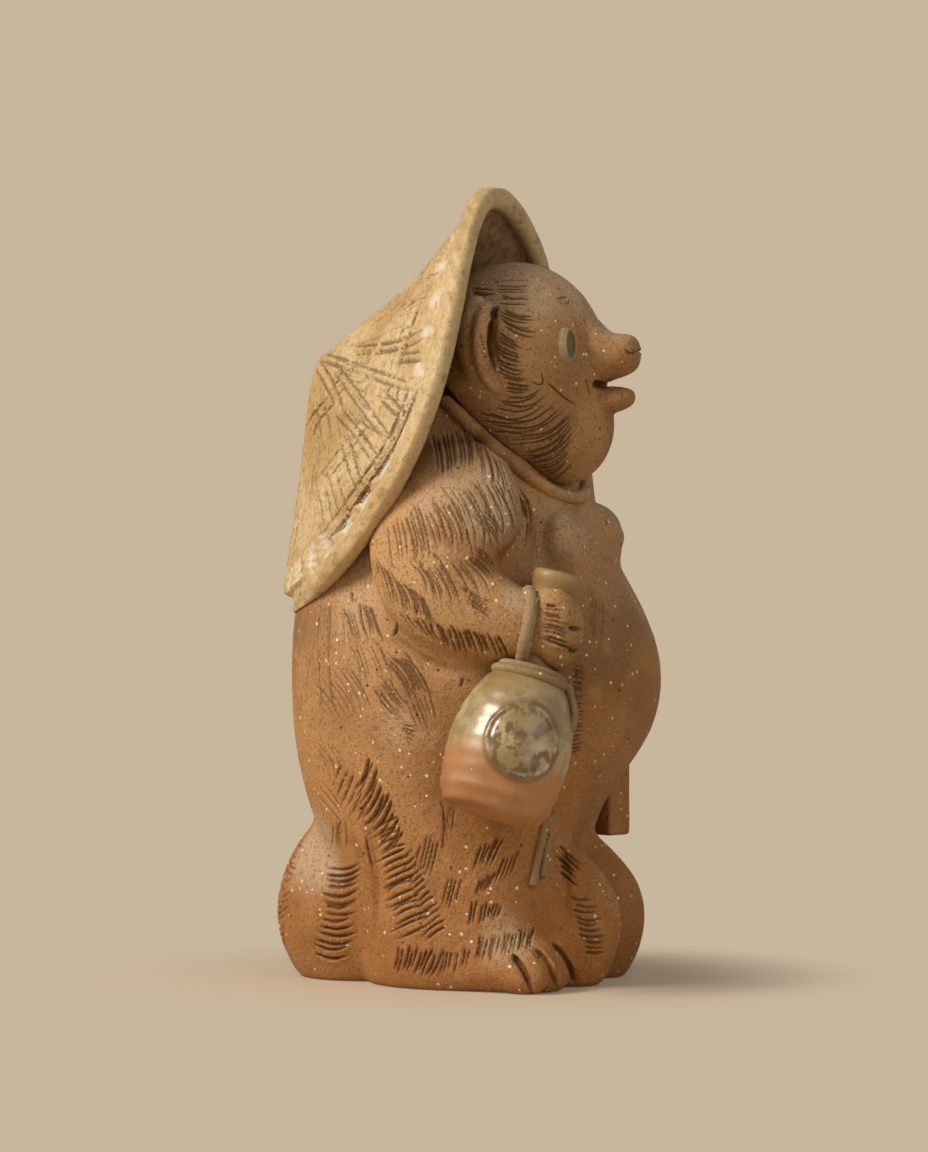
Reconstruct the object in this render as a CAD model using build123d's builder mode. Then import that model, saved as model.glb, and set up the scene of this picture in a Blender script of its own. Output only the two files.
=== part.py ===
from build123d import *

import os
from math import cos, pi, radians, sin, sqrt

# Stoneware tanuki figure, about 36 cm tall. Millimetres, +Z up, the figure faces -Y and its right hand is at -X.
# The origin is on the floor, under the middle of the torso. Right and left are the figure's own.

# Clay walls
WALL = 7.0
FLASK_WALL = 4.0
HAT_WALL = 6.0

# Torso, level by level: height, half width, reach to the front, reach to the back
BASE_HALF_WIDTH = 62.0
BASE_FRONT = 50.0
BASE_BACK = 46.0
SHIN_HEIGHT = 28.0
SHIN_HALF_WIDTH = 67.0
SHIN_FRONT = 50.0
SHIN_BACK = 48.0
HIP_HEIGHT = 72.0
HIP_HALF_WIDTH = 69.0
HIP_FRONT = 52.0
HIP_BACK = 70.5
PAUNCH_HEIGHT = 104.0
PAUNCH_HALF_WIDTH = 71.0
PAUNCH_FRONT = 76.0
PAUNCH_BACK = 79.0
BELLY_HEIGHT = 139.0
BELLY_HALF_WIDTH = 73.0
BELLY_FRONT = 84.5
BELLY_BACK = 81.0
RIB_HEIGHT = 172.0
RIB_HALF_WIDTH = 70.0
RIB_FRONT = 72.0
RIB_BACK = 77.5
CHEST_HEIGHT = 200.0
CHEST_HALF_WIDTH = 62.0
CHEST_FRONT = 56.0
CHEST_BACK = 69.0
SHOULDER_HEIGHT = 228.0
SHOULDER_HALF_WIDTH = 56.0
SHOULDER_FRONT = 49.5
SHOULDER_BACK = 61.0
COLLAR_HEIGHT = 254.0
COLLAR_HALF_WIDTH = 46.0
COLLAR_FRONT = 36.0
COLLAR_BACK = 49.0
NAPE_HEIGHT = 292.0
NAPE_HALF_WIDTH = 28.0
NAPE_FRONT = 14.0
NAPE_BACK = 30.0
LEG_FULLNESS = 3.4
BODY_FULLNESS = 2.15
SEAM_BACK = 2.0
TORSO_HOLLOW_LEVELS = 8

# Chest, nipples and navel
BREAST_SPREAD = 28.0
BREAST_HEIGHT = 194.0
BREAST_WIDTH = 19.0
BREAST_DEPTH = 9.5
BREAST_RISE = 17.0
NIPPLE_SPREAD = 33.0
NIPPLE_LIFT = 1.5
NIPPLE_RADIUS = 2.6
NAVEL_HEIGHT = 125.0
NAVEL_RADIUS = 5.0

# Comb strokes in the fur of the back
STROKE_LEVEL = 97.0
STROKE_ROWS = 2
STROKE_STEP = 31.0
STROKE_COLUMNS = 11
STROKE_TURN = 13.5
STROKE_HALF_LENGTH = 13.0
STROKE_RADIUS = 1.4

# Neck joint: the sloping plane on which the head is luted to the torso
NECK_TILT = 46.0
NECK_FORWARD = 9.0
NECK_HEIGHT = 254.5
NECK_BORE = 26.0
NECK_INSET = 10.0

# Head
HEAD_FORWARD = 20.0
HEAD_HEIGHT = 272.0
HEAD_HALF_WIDTH = 45.0
HEAD_HALF_DEPTH = 41.0
HEAD_HALF_HEIGHT = 47.0
SNOUT_REACH = 76.5
SNOUT_LIFT = 6.5
SNOUT_HALF_WIDTH = 16.0
SNOUT_HALF_HEIGHT = 13.0
CHIN_REACH = 64.5
CHIN_DROP = 25.0
CHIN_HALF_WIDTH = 27.0
CHIN_HALF_HEIGHT = 27.0
JAW_REACH = 74.0
JAW_DROP = 12.5
JAW_HALF_WIDTH = 11.0
JAW_HALF_HEIGHT = 6.2

# Eyes and ears
EYE_TURN = 40.0
EYE_RISE = 14.5
EYE_HALF_WIDTH = 5.2
EYE_HALF_HEIGHT = 9.0
EYE_DEPTH = 4.0
EYE_RIM = 1.6
EAR_HEIGHT = 38.0
EAR_DEPTH = 18.0
EAR_STAND_OFF = 10.0
EAR_RIM = 3.6
EAR_LIFT = 15.0
EAR_BACK = 6.0

# Hat: a sedge hat that hangs on the back of the head
HAT_LEAN = 24.5
HAT_TURN = 2.4
HAT_BACK = 33.3
HAT_HEIGHT = 256.0
HAT_HALF_LENGTH = 100.5
HAT_HALF_WIDTH = 82.0
HAT_CROWN = 42.5
HAT_WRAP = 35.7
HAT_RIM_RADIUS = 5.5
RIM_STATIONS = 7
HAT_SEAM = 3
HAT_STRAWS = 24
HAT_STRAW_RISE = 0.009

# Wad of clay between the hat and the head
WAD_LIFT = 15.0
WAD_HALF_WIDTH = 26.0
WAD_HALF_DEPTH = 34.0

# Cord of the hat
CORD_RADIUS = 4.5
CORD_RING_RADIUS = 46.0
CORD_SWEEP = 236.0

# Arms and paws
ARM_OUT = 68.0
ARM_FORWARD = 6.0
ARM_HEIGHT = 196.0
ARM_THICKNESS = 21.0
ARM_BREADTH = 33.0
WRIST_RADIUS = 16.5
WRIST_SHARE = 0.8
ARM_SPLAY = 4.0
ELBOW_LIFT = 15.0
PAW_OUT = 71.0
PAW_FORWARD = 57.0
PAW_HEIGHT = 161.5
PAW_LEFT_FORWARD = 42.0
PAW_LEFT_HEIGHT = 150.0
PAW_HALF_WIDTH = 14.0
PAW_HALF_HEIGHT = 20.0
FINGER_GROOVE = 4.0
FINGERS = 4

# Flask
FLASK_OUT = 92.0
FLASK_FORWARD = 34.5
FLASK_FOOT_HEIGHT = 81.0
FLASK_LEAN_IN = 17.0
FLASK_LEAN_FORWARD = 13.5
FLASK_HEIGHT = 110.0
FLASK_FOOT_RADIUS = 21.5
FLASK_RADIUS = 27.2
FLASK_BODY_HEIGHT = 62.0
FLASK_SHOULDER_RADIUS = 16.0
FLASK_NECK_RADIUS = 8.5
FLASK_MOUTH_RADIUS = 12.5
FLASK_MOUTH_HEIGHT = 14.0
FLASK_CORD_RADIUS = 3.2
MEDALLION_RADIUS = 18.0
MEDALLION_RISE = 1.6
MEDALLION_TURN = 25.0
STRAP_START = 75.0
STRAP_SWEEP = 165.0
KNOT_HALF_WIDTH = 5.0
KNOT_HALF_HEIGHT = 10.0
CORD_END_SIDE = 48.0
CORD_END_TOP = 90.0
CORD_END_LENGTH = 34.0

# Account book
BOOK_OUT = 65.5
BOOK_FORWARD = 37.0
BOOK_FOOT_HEIGHT = 60.0
BOOK_HEIGHT = 88.0
BOOK_WIDTH = 38.0
BOOK_THICKNESS = 14.0
BOOK_TURN = 60.0
BOOK_PAGES = 6
PAGE_CUT = 1.0

# Tail, pouches and feet
TAIL_HEIGHT = 80.0
TAIL_HALF_WIDTH = 38.0
TAIL_REACH = 89.0
POUCH_HEIGHT = 68.0
POUCH_SPREAD = 20.0
POUCH_HALF_WIDTH = 22.0
POUCH_REACH = 74.0
POUCH_MIDDLE = 42.0
FOOT_SPREAD = 50.0
FOOT_REACH = 58.5
FOOT_HALF_WIDTH = 20.0
FOOT_HEIGHT = 29.0
TOES = 4
TOE_HALF_LENGTH = 11.0
TOE_HALF_HEIGHT = 7.5
TOE_CURVE = 7.0

# Sides of the figure, as signs of x
RIGHT = -1
LEFT = 1


def outline(half_width, front, back, fullness, first, ribs, ripple):
    """Points round a section, elliptical behind and squarer in front as fullness rises over 2."""
    points = []
    for step in range(2 * ribs):
        turn = first * pi / 4 + step * pi / ribs
        across = cos(turn)
        along = sin(turn)
        reach = back if along > 0 else front
        power = 1 if along > 0 else 2 / fullness
        swell = 1 + ripple if step % 2 else 1 - ripple
        x = half_width * swell * abs(across) ** power
        y = reach * swell * abs(along) ** power
        points.append((x if across > 0 else -x, y if along > 0 else -y))
    return points


def lofted(levels, plane=Plane.XY, first=0, ribs=4, ripple=0.0):
    """Solid through sections on planes parallel to the given one, its seam at the first eighth of a turn."""
    with BuildPart() as form:
        for height, half_width, front, back, fullness in levels:
            with BuildSketch(plane.offset(height)):
                with BuildLine():
                    Spline(*outline(half_width, front, back, fullness, first, ribs, ripple), periodic=True)
                make_face()
        loft()
    return form.part


def place(centre, x_dir, z_dir):
    """Plane through a point with the x direction turned square to the normal."""
    normal = Vector(z_dir).normalized()
    side = Vector(x_dir) - normal * Vector(x_dir).dot(normal)
    return Plane(centre, x_dir=side, z_dir=normal)


def limb(stations, side=(1, 0, 0)):
    """Solid through ellipses set across a bent path."""
    with BuildPart() as form:
        for centre, heading, thickness, breadth in stations:
            with BuildSketch(place(centre, side, heading)):
                Ellipse(thickness, breadth)
        loft()
    return form.part


def ellipsoid(centre, semi_axes):
    """Solid ellipsoid with its axes along X, Y and Z."""
    with BuildPart() as form:
        Sphere(1.0)
        scale(by=semi_axes)
    return form.part.moved(Location(centre))


def comb_stroke(centre):
    """Upright bar on edge, which cuts one stroke of the comb."""
    with BuildPart() as form:
        with BuildSketch(Plane(centre)):
            RegularPolygon(STROKE_RADIUS, 4)
        extrude(amount=STROKE_HALF_LENGTH, both=True)
    return form.part


def ahead(distance, height, side=0.0):
    """Plane that faces the front, at a distance ahead of the origin."""
    return Plane((side, -distance, height), x_dir=(1, 0, 0), z_dir=(0, -1, 0))


# Outer form of the torso and its hollow
torso_levels = [
    (0.0, BASE_HALF_WIDTH, BASE_FRONT, BASE_BACK, LEG_FULLNESS),
    (SHIN_HEIGHT, SHIN_HALF_WIDTH, SHIN_FRONT, SHIN_BACK, LEG_FULLNESS),
    (HIP_HEIGHT, HIP_HALF_WIDTH, HIP_FRONT, HIP_BACK, (LEG_FULLNESS + BODY_FULLNESS) / 2),
    (PAUNCH_HEIGHT, PAUNCH_HALF_WIDTH, PAUNCH_FRONT, PAUNCH_BACK, BODY_FULLNESS),
    (BELLY_HEIGHT, BELLY_HALF_WIDTH, BELLY_FRONT, BELLY_BACK, BODY_FULLNESS),
    (RIB_HEIGHT, RIB_HALF_WIDTH, RIB_FRONT, RIB_BACK, BODY_FULLNESS),
    (CHEST_HEIGHT, CHEST_HALF_WIDTH, CHEST_FRONT, CHEST_BACK, BODY_FULLNESS),
    (SHOULDER_HEIGHT, SHOULDER_HALF_WIDTH, SHOULDER_FRONT, SHOULDER_BACK, BODY_FULLNESS),
    (COLLAR_HEIGHT, COLLAR_HALF_WIDTH, COLLAR_FRONT, COLLAR_BACK, BODY_FULLNESS),
    (NAPE_HEIGHT, NAPE_HALF_WIDTH, NAPE_FRONT, NAPE_BACK, BODY_FULLNESS),
]


def torso_section(height):
    """Half width, front reach, back reach and fullness of the torso at a height, read between its levels."""
    for lower, upper in zip(torso_levels, torso_levels[1:]):
        if height <= upper[0]:
            break
    share = (height - lower[0]) / (upper[0] - lower[0])
    return [a + (b - a) * share for a, b in zip(lower[1:], upper[1:])]


def torso_front_at(side, height):
    """How far forward the torso's surface is, at a distance to the side and a height."""
    half_width, front, back, fullness = torso_section(height)
    return front * (1 - (side / half_width) ** fullness) ** (1 / fullness)


torso_hollow_levels = []
for height, half_width, front, back, fullness in torso_levels[:TORSO_HOLLOW_LEVELS]:
    inset = WALL + NECK_INSET * (height / SHOULDER_HEIGHT) ** 8
    torso_hollow_levels.append((height, half_width - inset, front - inset, back - inset, fullness))

torso_form = lofted(torso_levels)
torso_hollow = lofted(torso_hollow_levels)
breast_forward = torso_front_at(BREAST_SPREAD, BREAST_HEIGHT) - BREAST_DEPTH * 0.35
breast_semi = (BREAST_WIDTH, BREAST_DEPTH, BREAST_RISE)
breast_right = ellipsoid((-BREAST_SPREAD, -breast_forward, BREAST_HEIGHT), breast_semi)
breast_left = ellipsoid((BREAST_SPREAD, -breast_forward, BREAST_HEIGHT), breast_semi)

neck_normal = (0, -sin(radians(NECK_TILT)), cos(radians(NECK_TILT)))
neck_plane = Plane((0, -NECK_FORWARD, NECK_HEIGHT), x_dir=(1, 0, 0), z_dir=neck_normal)
seam_plane = Plane((0, SEAM_BACK, 0), x_dir=(1, 0, 0), z_dir=(0, -1, 0))

with BuildPart() as torso_skin:
    add(torso_form)
    add(breast_right)
    add(breast_left)
    split(bisect_by=neck_plane, keep=Keep.BOTTOM)

with BuildPart() as neck_bore:
    with BuildSketch(neck_plane):
        Circle(NECK_BORE)
    extrude(amount=-NECK_BORE * 1.8)

navel = ellipsoid((0, -BELLY_FRONT, NAVEL_HEIGHT), (NAVEL_RADIUS, NAVEL_RADIUS / 2, NAVEL_RADIUS))

with BuildPart() as torso_front:
    add(torso_skin.part)
    split(bisect_by=seam_plane, keep=Keep.TOP)
    add(torso_hollow, mode=Mode.SUBTRACT)
    add(neck_bore.part, mode=Mode.SUBTRACT)
    add(navel, mode=Mode.SUBTRACT)

back_strokes = []
for row in range(STROKE_ROWS):
    stroke_height = STROKE_LEVEL + row * STROKE_STEP
    half_width, front, back, fullness = torso_section(stroke_height)
    for column in range(STROKE_COLUMNS):
        turn = radians(90 + STROKE_TURN * (column + row / 2 - STROKE_COLUMNS / 2))
        centre = (half_width * cos(turn), back * sin(turn), stroke_height)
        back_strokes.append(comb_stroke(centre))

with BuildPart() as torso_back:
    add(torso_skin.part)
    split(bisect_by=seam_plane, keep=Keep.BOTTOM)
    add(torso_hollow, mode=Mode.SUBTRACT)
    add(neck_bore.part, mode=Mode.SUBTRACT)
    add(back_strokes, mode=Mode.SUBTRACT)

# Head with the snout, hollow and open to the torso below
head_centre = (0, -HEAD_FORWARD, HEAD_HEIGHT)
head_semi = (HEAD_HALF_WIDTH, HEAD_HALF_DEPTH, HEAD_HALF_HEIGHT)
head_form = ellipsoid(head_centre, head_semi)
head_hollow = ellipsoid(head_centre, tuple(semi - WALL for semi in head_semi))
brow = HEAD_FORWARD + HEAD_HALF_DEPTH
snout_length = SNOUT_REACH - brow
snout = lofted(
    [
        (-snout_length * 0.55, SNOUT_HALF_WIDTH * 1.22, SNOUT_HALF_HEIGHT * 1.22, SNOUT_HALF_HEIGHT * 1.2, 2),
        (0.0, SNOUT_HALF_WIDTH, SNOUT_HALF_HEIGHT, SNOUT_HALF_HEIGHT * 0.92, 2),
        (snout_length * 0.45, SNOUT_HALF_WIDTH * 0.84, SNOUT_HALF_HEIGHT * 0.8, SNOUT_HALF_HEIGHT * 0.72, 2),
        (snout_length * 0.78, SNOUT_HALF_WIDTH * 0.68, SNOUT_HALF_HEIGHT * 0.64, SNOUT_HALF_HEIGHT * 0.68, 2),
        (snout_length * 0.94, SNOUT_HALF_WIDTH * 0.5, SNOUT_HALF_HEIGHT * 0.48, SNOUT_HALF_HEIGHT * 0.54, 2),
        (snout_length, SNOUT_HALF_WIDTH * 0.26, SNOUT_HALF_HEIGHT * 0.22, SNOUT_HALF_HEIGHT * 0.3, 2),
    ],
    ahead(brow, HEAD_HEIGHT + SNOUT_LIFT),
)

chin_forward = HEAD_FORWARD + HEAD_HALF_DEPTH / 2
chin_semi = (CHIN_HALF_WIDTH, CHIN_REACH - chin_forward, CHIN_HALF_HEIGHT)
chin = ellipsoid((0, -chin_forward, HEAD_HEIGHT - CHIN_DROP), chin_semi)

with BuildPart() as head_skin:
    add(head_form)
    add(snout)
    add(chin)
    split(bisect_by=neck_plane, keep=Keep.TOP)

with BuildPart() as head:
    add(head_skin.part)
    add(head_hollow, mode=Mode.SUBTRACT)

jaw_length = JAW_REACH - brow
jaw_form = lofted(
    [
        (-HEAD_HALF_DEPTH / 3, JAW_HALF_WIDTH * 1.2, JAW_HALF_HEIGHT * 1.8, JAW_HALF_HEIGHT, 2),
        (0.0, JAW_HALF_WIDTH, JAW_HALF_HEIGHT * 1.3, JAW_HALF_HEIGHT * 0.8, 2.3),
        (jaw_length * 0.75, JAW_HALF_WIDTH * 0.85, JAW_HALF_HEIGHT * 0.8, JAW_HALF_HEIGHT * 0.7, 2.3),
        (jaw_length, JAW_HALF_WIDTH * 0.5, JAW_HALF_HEIGHT * 0.45, JAW_HALF_HEIGHT * 0.5, 2),
    ],
    ahead(brow, HEAD_HEIGHT - JAW_DROP),
)

with BuildPart() as jaw:
    add(jaw_form)
    add(head_skin.part, mode=Mode.SUBTRACT)


def on_head(side, turn, rise):
    """Point on the head and the outward direction there, from angles to the side and upward in degrees."""
    level = cos(radians(rise))
    unit = (side * sin(radians(turn)) * level, -cos(radians(turn)) * level, sin(radians(rise)))
    point = tuple(centre + semi * u for centre, semi, u in zip(head_centre, head_semi, unit))
    normal = tuple(u / semi for semi, u in zip(head_semi, unit))
    return point, normal


def make_eye(side):
    """Eye: a rim with a dished pupil."""
    point, normal = on_head(side, EYE_TURN, EYE_RISE)
    plane = place(point, (1, 0, 0), normal)
    with BuildPart() as eye:
        with BuildSketch(plane.offset(-EYE_DEPTH)):
            Ellipse(EYE_HALF_WIDTH, EYE_HALF_HEIGHT)
        extrude(amount=EYE_DEPTH + EYE_RIM)
        with BuildSketch(plane.offset(EYE_RIM / 2)):
            Ellipse(EYE_HALF_WIDTH - EYE_RIM, EYE_HALF_HEIGHT - EYE_RIM)
        extrude(amount=EYE_RIM, mode=Mode.SUBTRACT)
        add(head_skin.part, mode=Mode.SUBTRACT)
    return eye


def make_ear(side):
    """Ear: a lobe hollowed out toward the front."""
    rise = EAR_LIFT / HEAD_HALF_HEIGHT
    out = HEAD_HALF_WIDTH * sqrt(1 - rise * rise)
    level = HEAD_HEIGHT + EAR_LIFT
    lobe = ellipsoid((side * out, EAR_BACK - HEAD_FORWARD, level), (EAR_STAND_OFF, EAR_DEPTH / 2, EAR_HEIGHT / 2))
    dish = ellipsoid(
        (side * (out + EAR_RIM), -HEAD_FORWARD - EAR_RIM, level),
        (EAR_STAND_OFF - EAR_RIM, EAR_DEPTH / 2 - EAR_RIM / 2, EAR_HEIGHT / 2 - EAR_RIM),
    )
    with BuildPart() as ear:
        add(lobe)
        add(dish, mode=Mode.SUBTRACT)
        add(head_skin.part, mode=Mode.SUBTRACT)
    return ear


eye_right = make_eye(RIGHT)
eye_left = make_eye(LEFT)
ear_right = make_ear(RIGHT)
ear_left = make_ear(LEFT)

# Hat: its plane looks back and up; local x runs across and local y runs down the back
hat_level = cos(radians(HAT_LEAN))
hat_normal = (sin(radians(HAT_TURN)) * hat_level, cos(radians(HAT_TURN)) * hat_level, sin(radians(HAT_LEAN)))
hat_across = (cos(radians(HAT_TURN)), -sin(radians(HAT_TURN)), 0)
hat_plane = Plane((0, HAT_BACK, HAT_HEIGHT), x_dir=hat_across, z_dir=hat_normal)
hat_levels = [
    (HAT_CROWN, HAT_HALF_WIDTH * 0.03, HAT_HALF_LENGTH * 0.03, HAT_HALF_LENGTH * 0.05, 2),
    (HAT_CROWN * 0.87, HAT_HALF_WIDTH * 0.12, HAT_HALF_LENGTH * 0.12, HAT_HALF_LENGTH * 0.24, 2),
    (HAT_CROWN * 0.64, HAT_HALF_WIDTH * 0.24, HAT_HALF_LENGTH * 0.31, HAT_HALF_LENGTH * 0.52, 2),
    (HAT_CROWN * 0.4, HAT_HALF_WIDTH * 0.37, HAT_HALF_LENGTH * 0.51, HAT_HALF_LENGTH * 0.86, 2),
    (HAT_CROWN * 0.2, HAT_HALF_WIDTH * 0.5, HAT_HALF_LENGTH * 0.74, HAT_HALF_LENGTH * 1.14, 2),
    (0.0, HAT_HALF_WIDTH * 0.64, HAT_HALF_LENGTH * 1.05, HAT_HALF_LENGTH * 1.4, 2),
    (-HAT_WRAP / 2, HAT_HALF_WIDTH * 0.84, HAT_HALF_LENGTH * 1.4, HAT_HALF_LENGTH * 1.6, 2),
    (-HAT_WRAP * 1.2, HAT_HALF_WIDTH * 1.1, HAT_HALF_LENGTH * 1.7, HAT_HALF_LENGTH * 1.8, 2),
]
hat_form = lofted(hat_levels, hat_plane, HAT_SEAM, HAT_STRAWS, HAT_STRAW_RISE)
hat_hollow = lofted([(level[0] - HAT_WALL, *level[1:]) for level in hat_levels], hat_plane, HAT_SEAM)
rim_half_width = HAT_HALF_WIDTH * 1.4
rim_drop = HAT_WRAP * 1.4 * 1.4

with BuildPart() as hat_mouth:
    with BuildSketch(Plane(hat_plane.origin, x_dir=hat_across, z_dir=-hat_plane.y_dir)):
        with BuildLine():
            Bezier((-rim_half_width, -rim_drop), (0, rim_drop), (rim_half_width, -rim_drop))
            Polyline(
                (rim_half_width, -rim_drop),
                (rim_half_width, -4 * HAT_WRAP),
                (-rim_half_width, -4 * HAT_WRAP),
                (-rim_half_width, -rim_drop),
            )
        make_face()
    extrude(amount=2 * HAT_HALF_LENGTH, both=True)

rim_stations = []
for step in range(RIM_STATIONS + 1):
    across = sin(step * pi / RIM_STATIONS)
    along = cos(step * pi / RIM_STATIONS)
    local = Vector(HAT_HALF_WIDTH * across, HAT_HALF_LENGTH * along, -HAT_WRAP * across * across)
    heading = Vector(HAT_HALF_WIDTH * along, -HAT_HALF_LENGTH * across, -2 * HAT_WRAP * across * along)
    station = hat_plane.from_local_coords(local)
    tangent = hat_plane.from_local_coords(heading) - hat_plane.origin
    rim_stations.append((station, tangent, HAT_RIM_RADIUS, HAT_RIM_RADIUS))
rim_left = limb(rim_stations, hat_normal)
rim_right = rim_left.mirror(Plane(hat_plane.origin, x_dir=hat_normal, z_dir=hat_across))

with BuildPart() as rim_coil:
    add(rim_left)
    add(rim_right)

# Wad of clay that holds the hat to the back of the head
wad_form = ellipsoid((0, HAT_BACK, HEAD_HEIGHT + WAD_LIFT), (WAD_HALF_WIDTH, WAD_HALF_DEPTH, WAD_HALF_WIDTH))

with BuildPart() as hat_wad:
    add(wad_form)
    add(hat_hollow, mode=Mode.INTERSECT)
    add(head_skin.part, mode=Mode.SUBTRACT)
    add(torso_skin.part, mode=Mode.SUBTRACT)

# Arms: from the shoulder down and forward to the wrist
def arm_solid(side, forward, level):
    """Whole arm before it is seated, with its paw at the given distance forward and height."""
    shoulder = (side * SHOULDER_HALF_WIDTH * 0.82, -ARM_FORWARD, SHOULDER_HEIGHT + ARM_THICKNESS * 0.35)
    upper = (side * (ARM_OUT - ARM_SPLAY * 2), -ARM_FORWARD, ARM_HEIGHT + ARM_THICKNESS)
    middle = (side * ARM_OUT, -ARM_FORWARD, ARM_HEIGHT)
    elbow = (side * (ARM_OUT + ARM_SPLAY), -ARM_FORWARD - ARM_SPLAY, level + ELBOW_LIFT)
    forearm = (side * (ARM_OUT + ARM_SPLAY), -forward * 0.5, level + ELBOW_LIFT / 3)
    wrist = (side * PAW_OUT, -forward * WRIST_SHARE, level)
    hand = (side * PAW_OUT, -forward, level)
    return limb(
        [
            (shoulder, (side * 0.6, 0, -0.8), ARM_THICKNESS * 0.6, ARM_BREADTH * 0.7),
            (upper, (side * 0.4, 0, -0.9), ARM_THICKNESS * 0.95, ARM_BREADTH),
            (middle, (side * 0.12, -0.1, -1), ARM_THICKNESS, ARM_BREADTH),
            (elbow, (0, -0.6, -0.8), ARM_THICKNESS * 0.95, ARM_BREADTH * 0.8),
            (forearm, (0, -1, -0.3), ARM_THICKNESS * 0.88, WRIST_RADIUS * 1.2),
            (wrist, (0, -1, 0), WRIST_RADIUS * 0.95, WRIST_RADIUS),
            (hand, (0, -1, 0), PAW_HALF_WIDTH * 0.8, WRIST_RADIUS * 0.8),
        ]
    )


def paw_solid(side, forward, level):
    """Rounded paw with grooves between its fingers."""
    sections = []
    for share in (-0.97, -0.75, -0.4, 0.0, 0.4, 0.75, 0.97):
        radius = PAW_HALF_WIDTH * sqrt(1 - share * share)
        sections.append((PAW_HALF_HEIGHT * share, radius, radius, radius, 2))
    palm = lofted(sections, Plane((side * PAW_OUT, -forward, level)))
    finger_step = 2 * PAW_HALF_HEIGHT / (FINGERS + 1)
    with BuildPart() as paw:
        add(palm)
        for gap in range(FINGERS - 1):
            lift = finger_step * (gap - (FINGERS - 2) / 2)
            with Locations((side * PAW_OUT, -forward - PAW_HALF_WIDTH, level + lift)):
                Box(2 * PAW_HALF_WIDTH, 2 * FINGER_GROOVE, FINGER_GROOVE / 2, mode=Mode.SUBTRACT)
    return paw.part


arm_form_right = arm_solid(RIGHT, PAW_FORWARD, PAW_HEIGHT)
arm_form_left = arm_solid(LEFT, PAW_LEFT_FORWARD, PAW_LEFT_HEIGHT)
paw_form_right = paw_solid(RIGHT, PAW_FORWARD, PAW_HEIGHT)
paw_form_left = paw_solid(LEFT, PAW_LEFT_FORWARD, PAW_LEFT_HEIGHT)

# Flask, turned about its own axis
flask_axis = (sin(radians(FLASK_LEAN_IN)), -sin(radians(FLASK_LEAN_FORWARD)), 1)
flask_plane = place((-FLASK_OUT, -FLASK_FORWARD, FLASK_FOOT_HEIGHT), (1, 0, 0), flask_axis)
flask_profile_plane = Plane(flask_plane.origin, x_dir=flask_plane.x_dir, z_dir=-flask_plane.y_dir)
neck_foot = FLASK_BODY_HEIGHT + FLASK_NECK_RADIUS * 0.8
mouth_foot = FLASK_HEIGHT - FLASK_MOUTH_HEIGHT


def flask_side(inset):
    """Points up the side of the jar, set in from its outside."""
    return [
        (FLASK_FOOT_RADIUS - inset, inset),
        (FLASK_RADIUS * 0.95 - inset, FLASK_BODY_HEIGHT * 0.22),
        (FLASK_RADIUS - inset, FLASK_BODY_HEIGHT * 0.45),
        (FLASK_RADIUS * 0.9 - inset, FLASK_BODY_HEIGHT * 0.74),
        (FLASK_SHOULDER_RADIUS - inset, FLASK_BODY_HEIGHT - inset / 2),
    ]


def turned(points, closing):
    """Solid of revolution about the flask's axis."""
    with BuildPart() as form:
        with BuildSketch(flask_profile_plane):
            with BuildLine():
                Polyline((0, points[0][1]), points[0])
                Spline(*points)
                Polyline(points[-1], *closing, (0, points[0][1]))
            make_face()
        revolve(axis=Axis(flask_plane.origin, flask_plane.z_dir))
    return form.part


flask_outside = turned(
    flask_side(0.0),
    [
        (FLASK_NECK_RADIUS, neck_foot),
        (FLASK_NECK_RADIUS, mouth_foot),
        (FLASK_MOUTH_RADIUS, mouth_foot + FLASK_MOUTH_HEIGHT * 0.7),
        (FLASK_MOUTH_RADIUS, FLASK_HEIGHT),
        (0, FLASK_HEIGHT),
    ],
)
flask_inside = turned(
    flask_side(FLASK_WALL),
    [
        (FLASK_NECK_RADIUS - FLASK_WALL, neck_foot),
        (FLASK_NECK_RADIUS - FLASK_WALL, mouth_foot),
        (FLASK_MOUTH_RADIUS - FLASK_WALL, mouth_foot + FLASK_MOUTH_HEIGHT * 0.7),
        (FLASK_MOUTH_RADIUS - FLASK_WALL, FLASK_HEIGHT),
        (0, FLASK_HEIGHT),
    ],
)

with BuildPart() as flask:
    add(flask_outside)
    add(flask_inside, mode=Mode.SUBTRACT)
    add(torso_skin.part, mode=Mode.SUBTRACT)

with BuildPart() as arm_right:
    add(arm_form_right)
    add(torso_skin.part, mode=Mode.SUBTRACT)
    add(paw_form_right, mode=Mode.SUBTRACT)
    add(flask_outside, mode=Mode.SUBTRACT)

with BuildPart() as arm_left:
    add(arm_form_left)
    add(torso_skin.part, mode=Mode.SUBTRACT)
    add(paw_form_left, mode=Mode.SUBTRACT)

with BuildPart() as paw_right:
    add(paw_form_right)
    add(torso_skin.part, mode=Mode.SUBTRACT)
    add(flask_outside, mode=Mode.SUBTRACT)

with BuildPart() as paw_left:
    add(paw_form_left)
    add(torso_skin.part, mode=Mode.SUBTRACT)

# Hat with its rim and cord, seated on the back, the shoulders and the neck
with BuildPart() as hat:
    add(hat_form)
    with BuildSketch(hat_plane):
        Ellipse(HAT_HALF_WIDTH, HAT_HALF_LENGTH)
    extrude(amount=2 * HAT_CROWN, both=True, mode=Mode.INTERSECT)
    add(hat_hollow, mode=Mode.SUBTRACT)
    add(hat_mouth.part, mode=Mode.SUBTRACT)
    add(rim_coil.part, mode=Mode.SUBTRACT)
    add(arm_form_right, mode=Mode.SUBTRACT)
    add(arm_form_left, mode=Mode.SUBTRACT)

with BuildPart() as hat_rim:
    add(rim_coil.part)
    add(torso_skin.part, mode=Mode.SUBTRACT)
    add(arm_form_right, mode=Mode.SUBTRACT)
    add(arm_form_left, mode=Mode.SUBTRACT)

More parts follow.
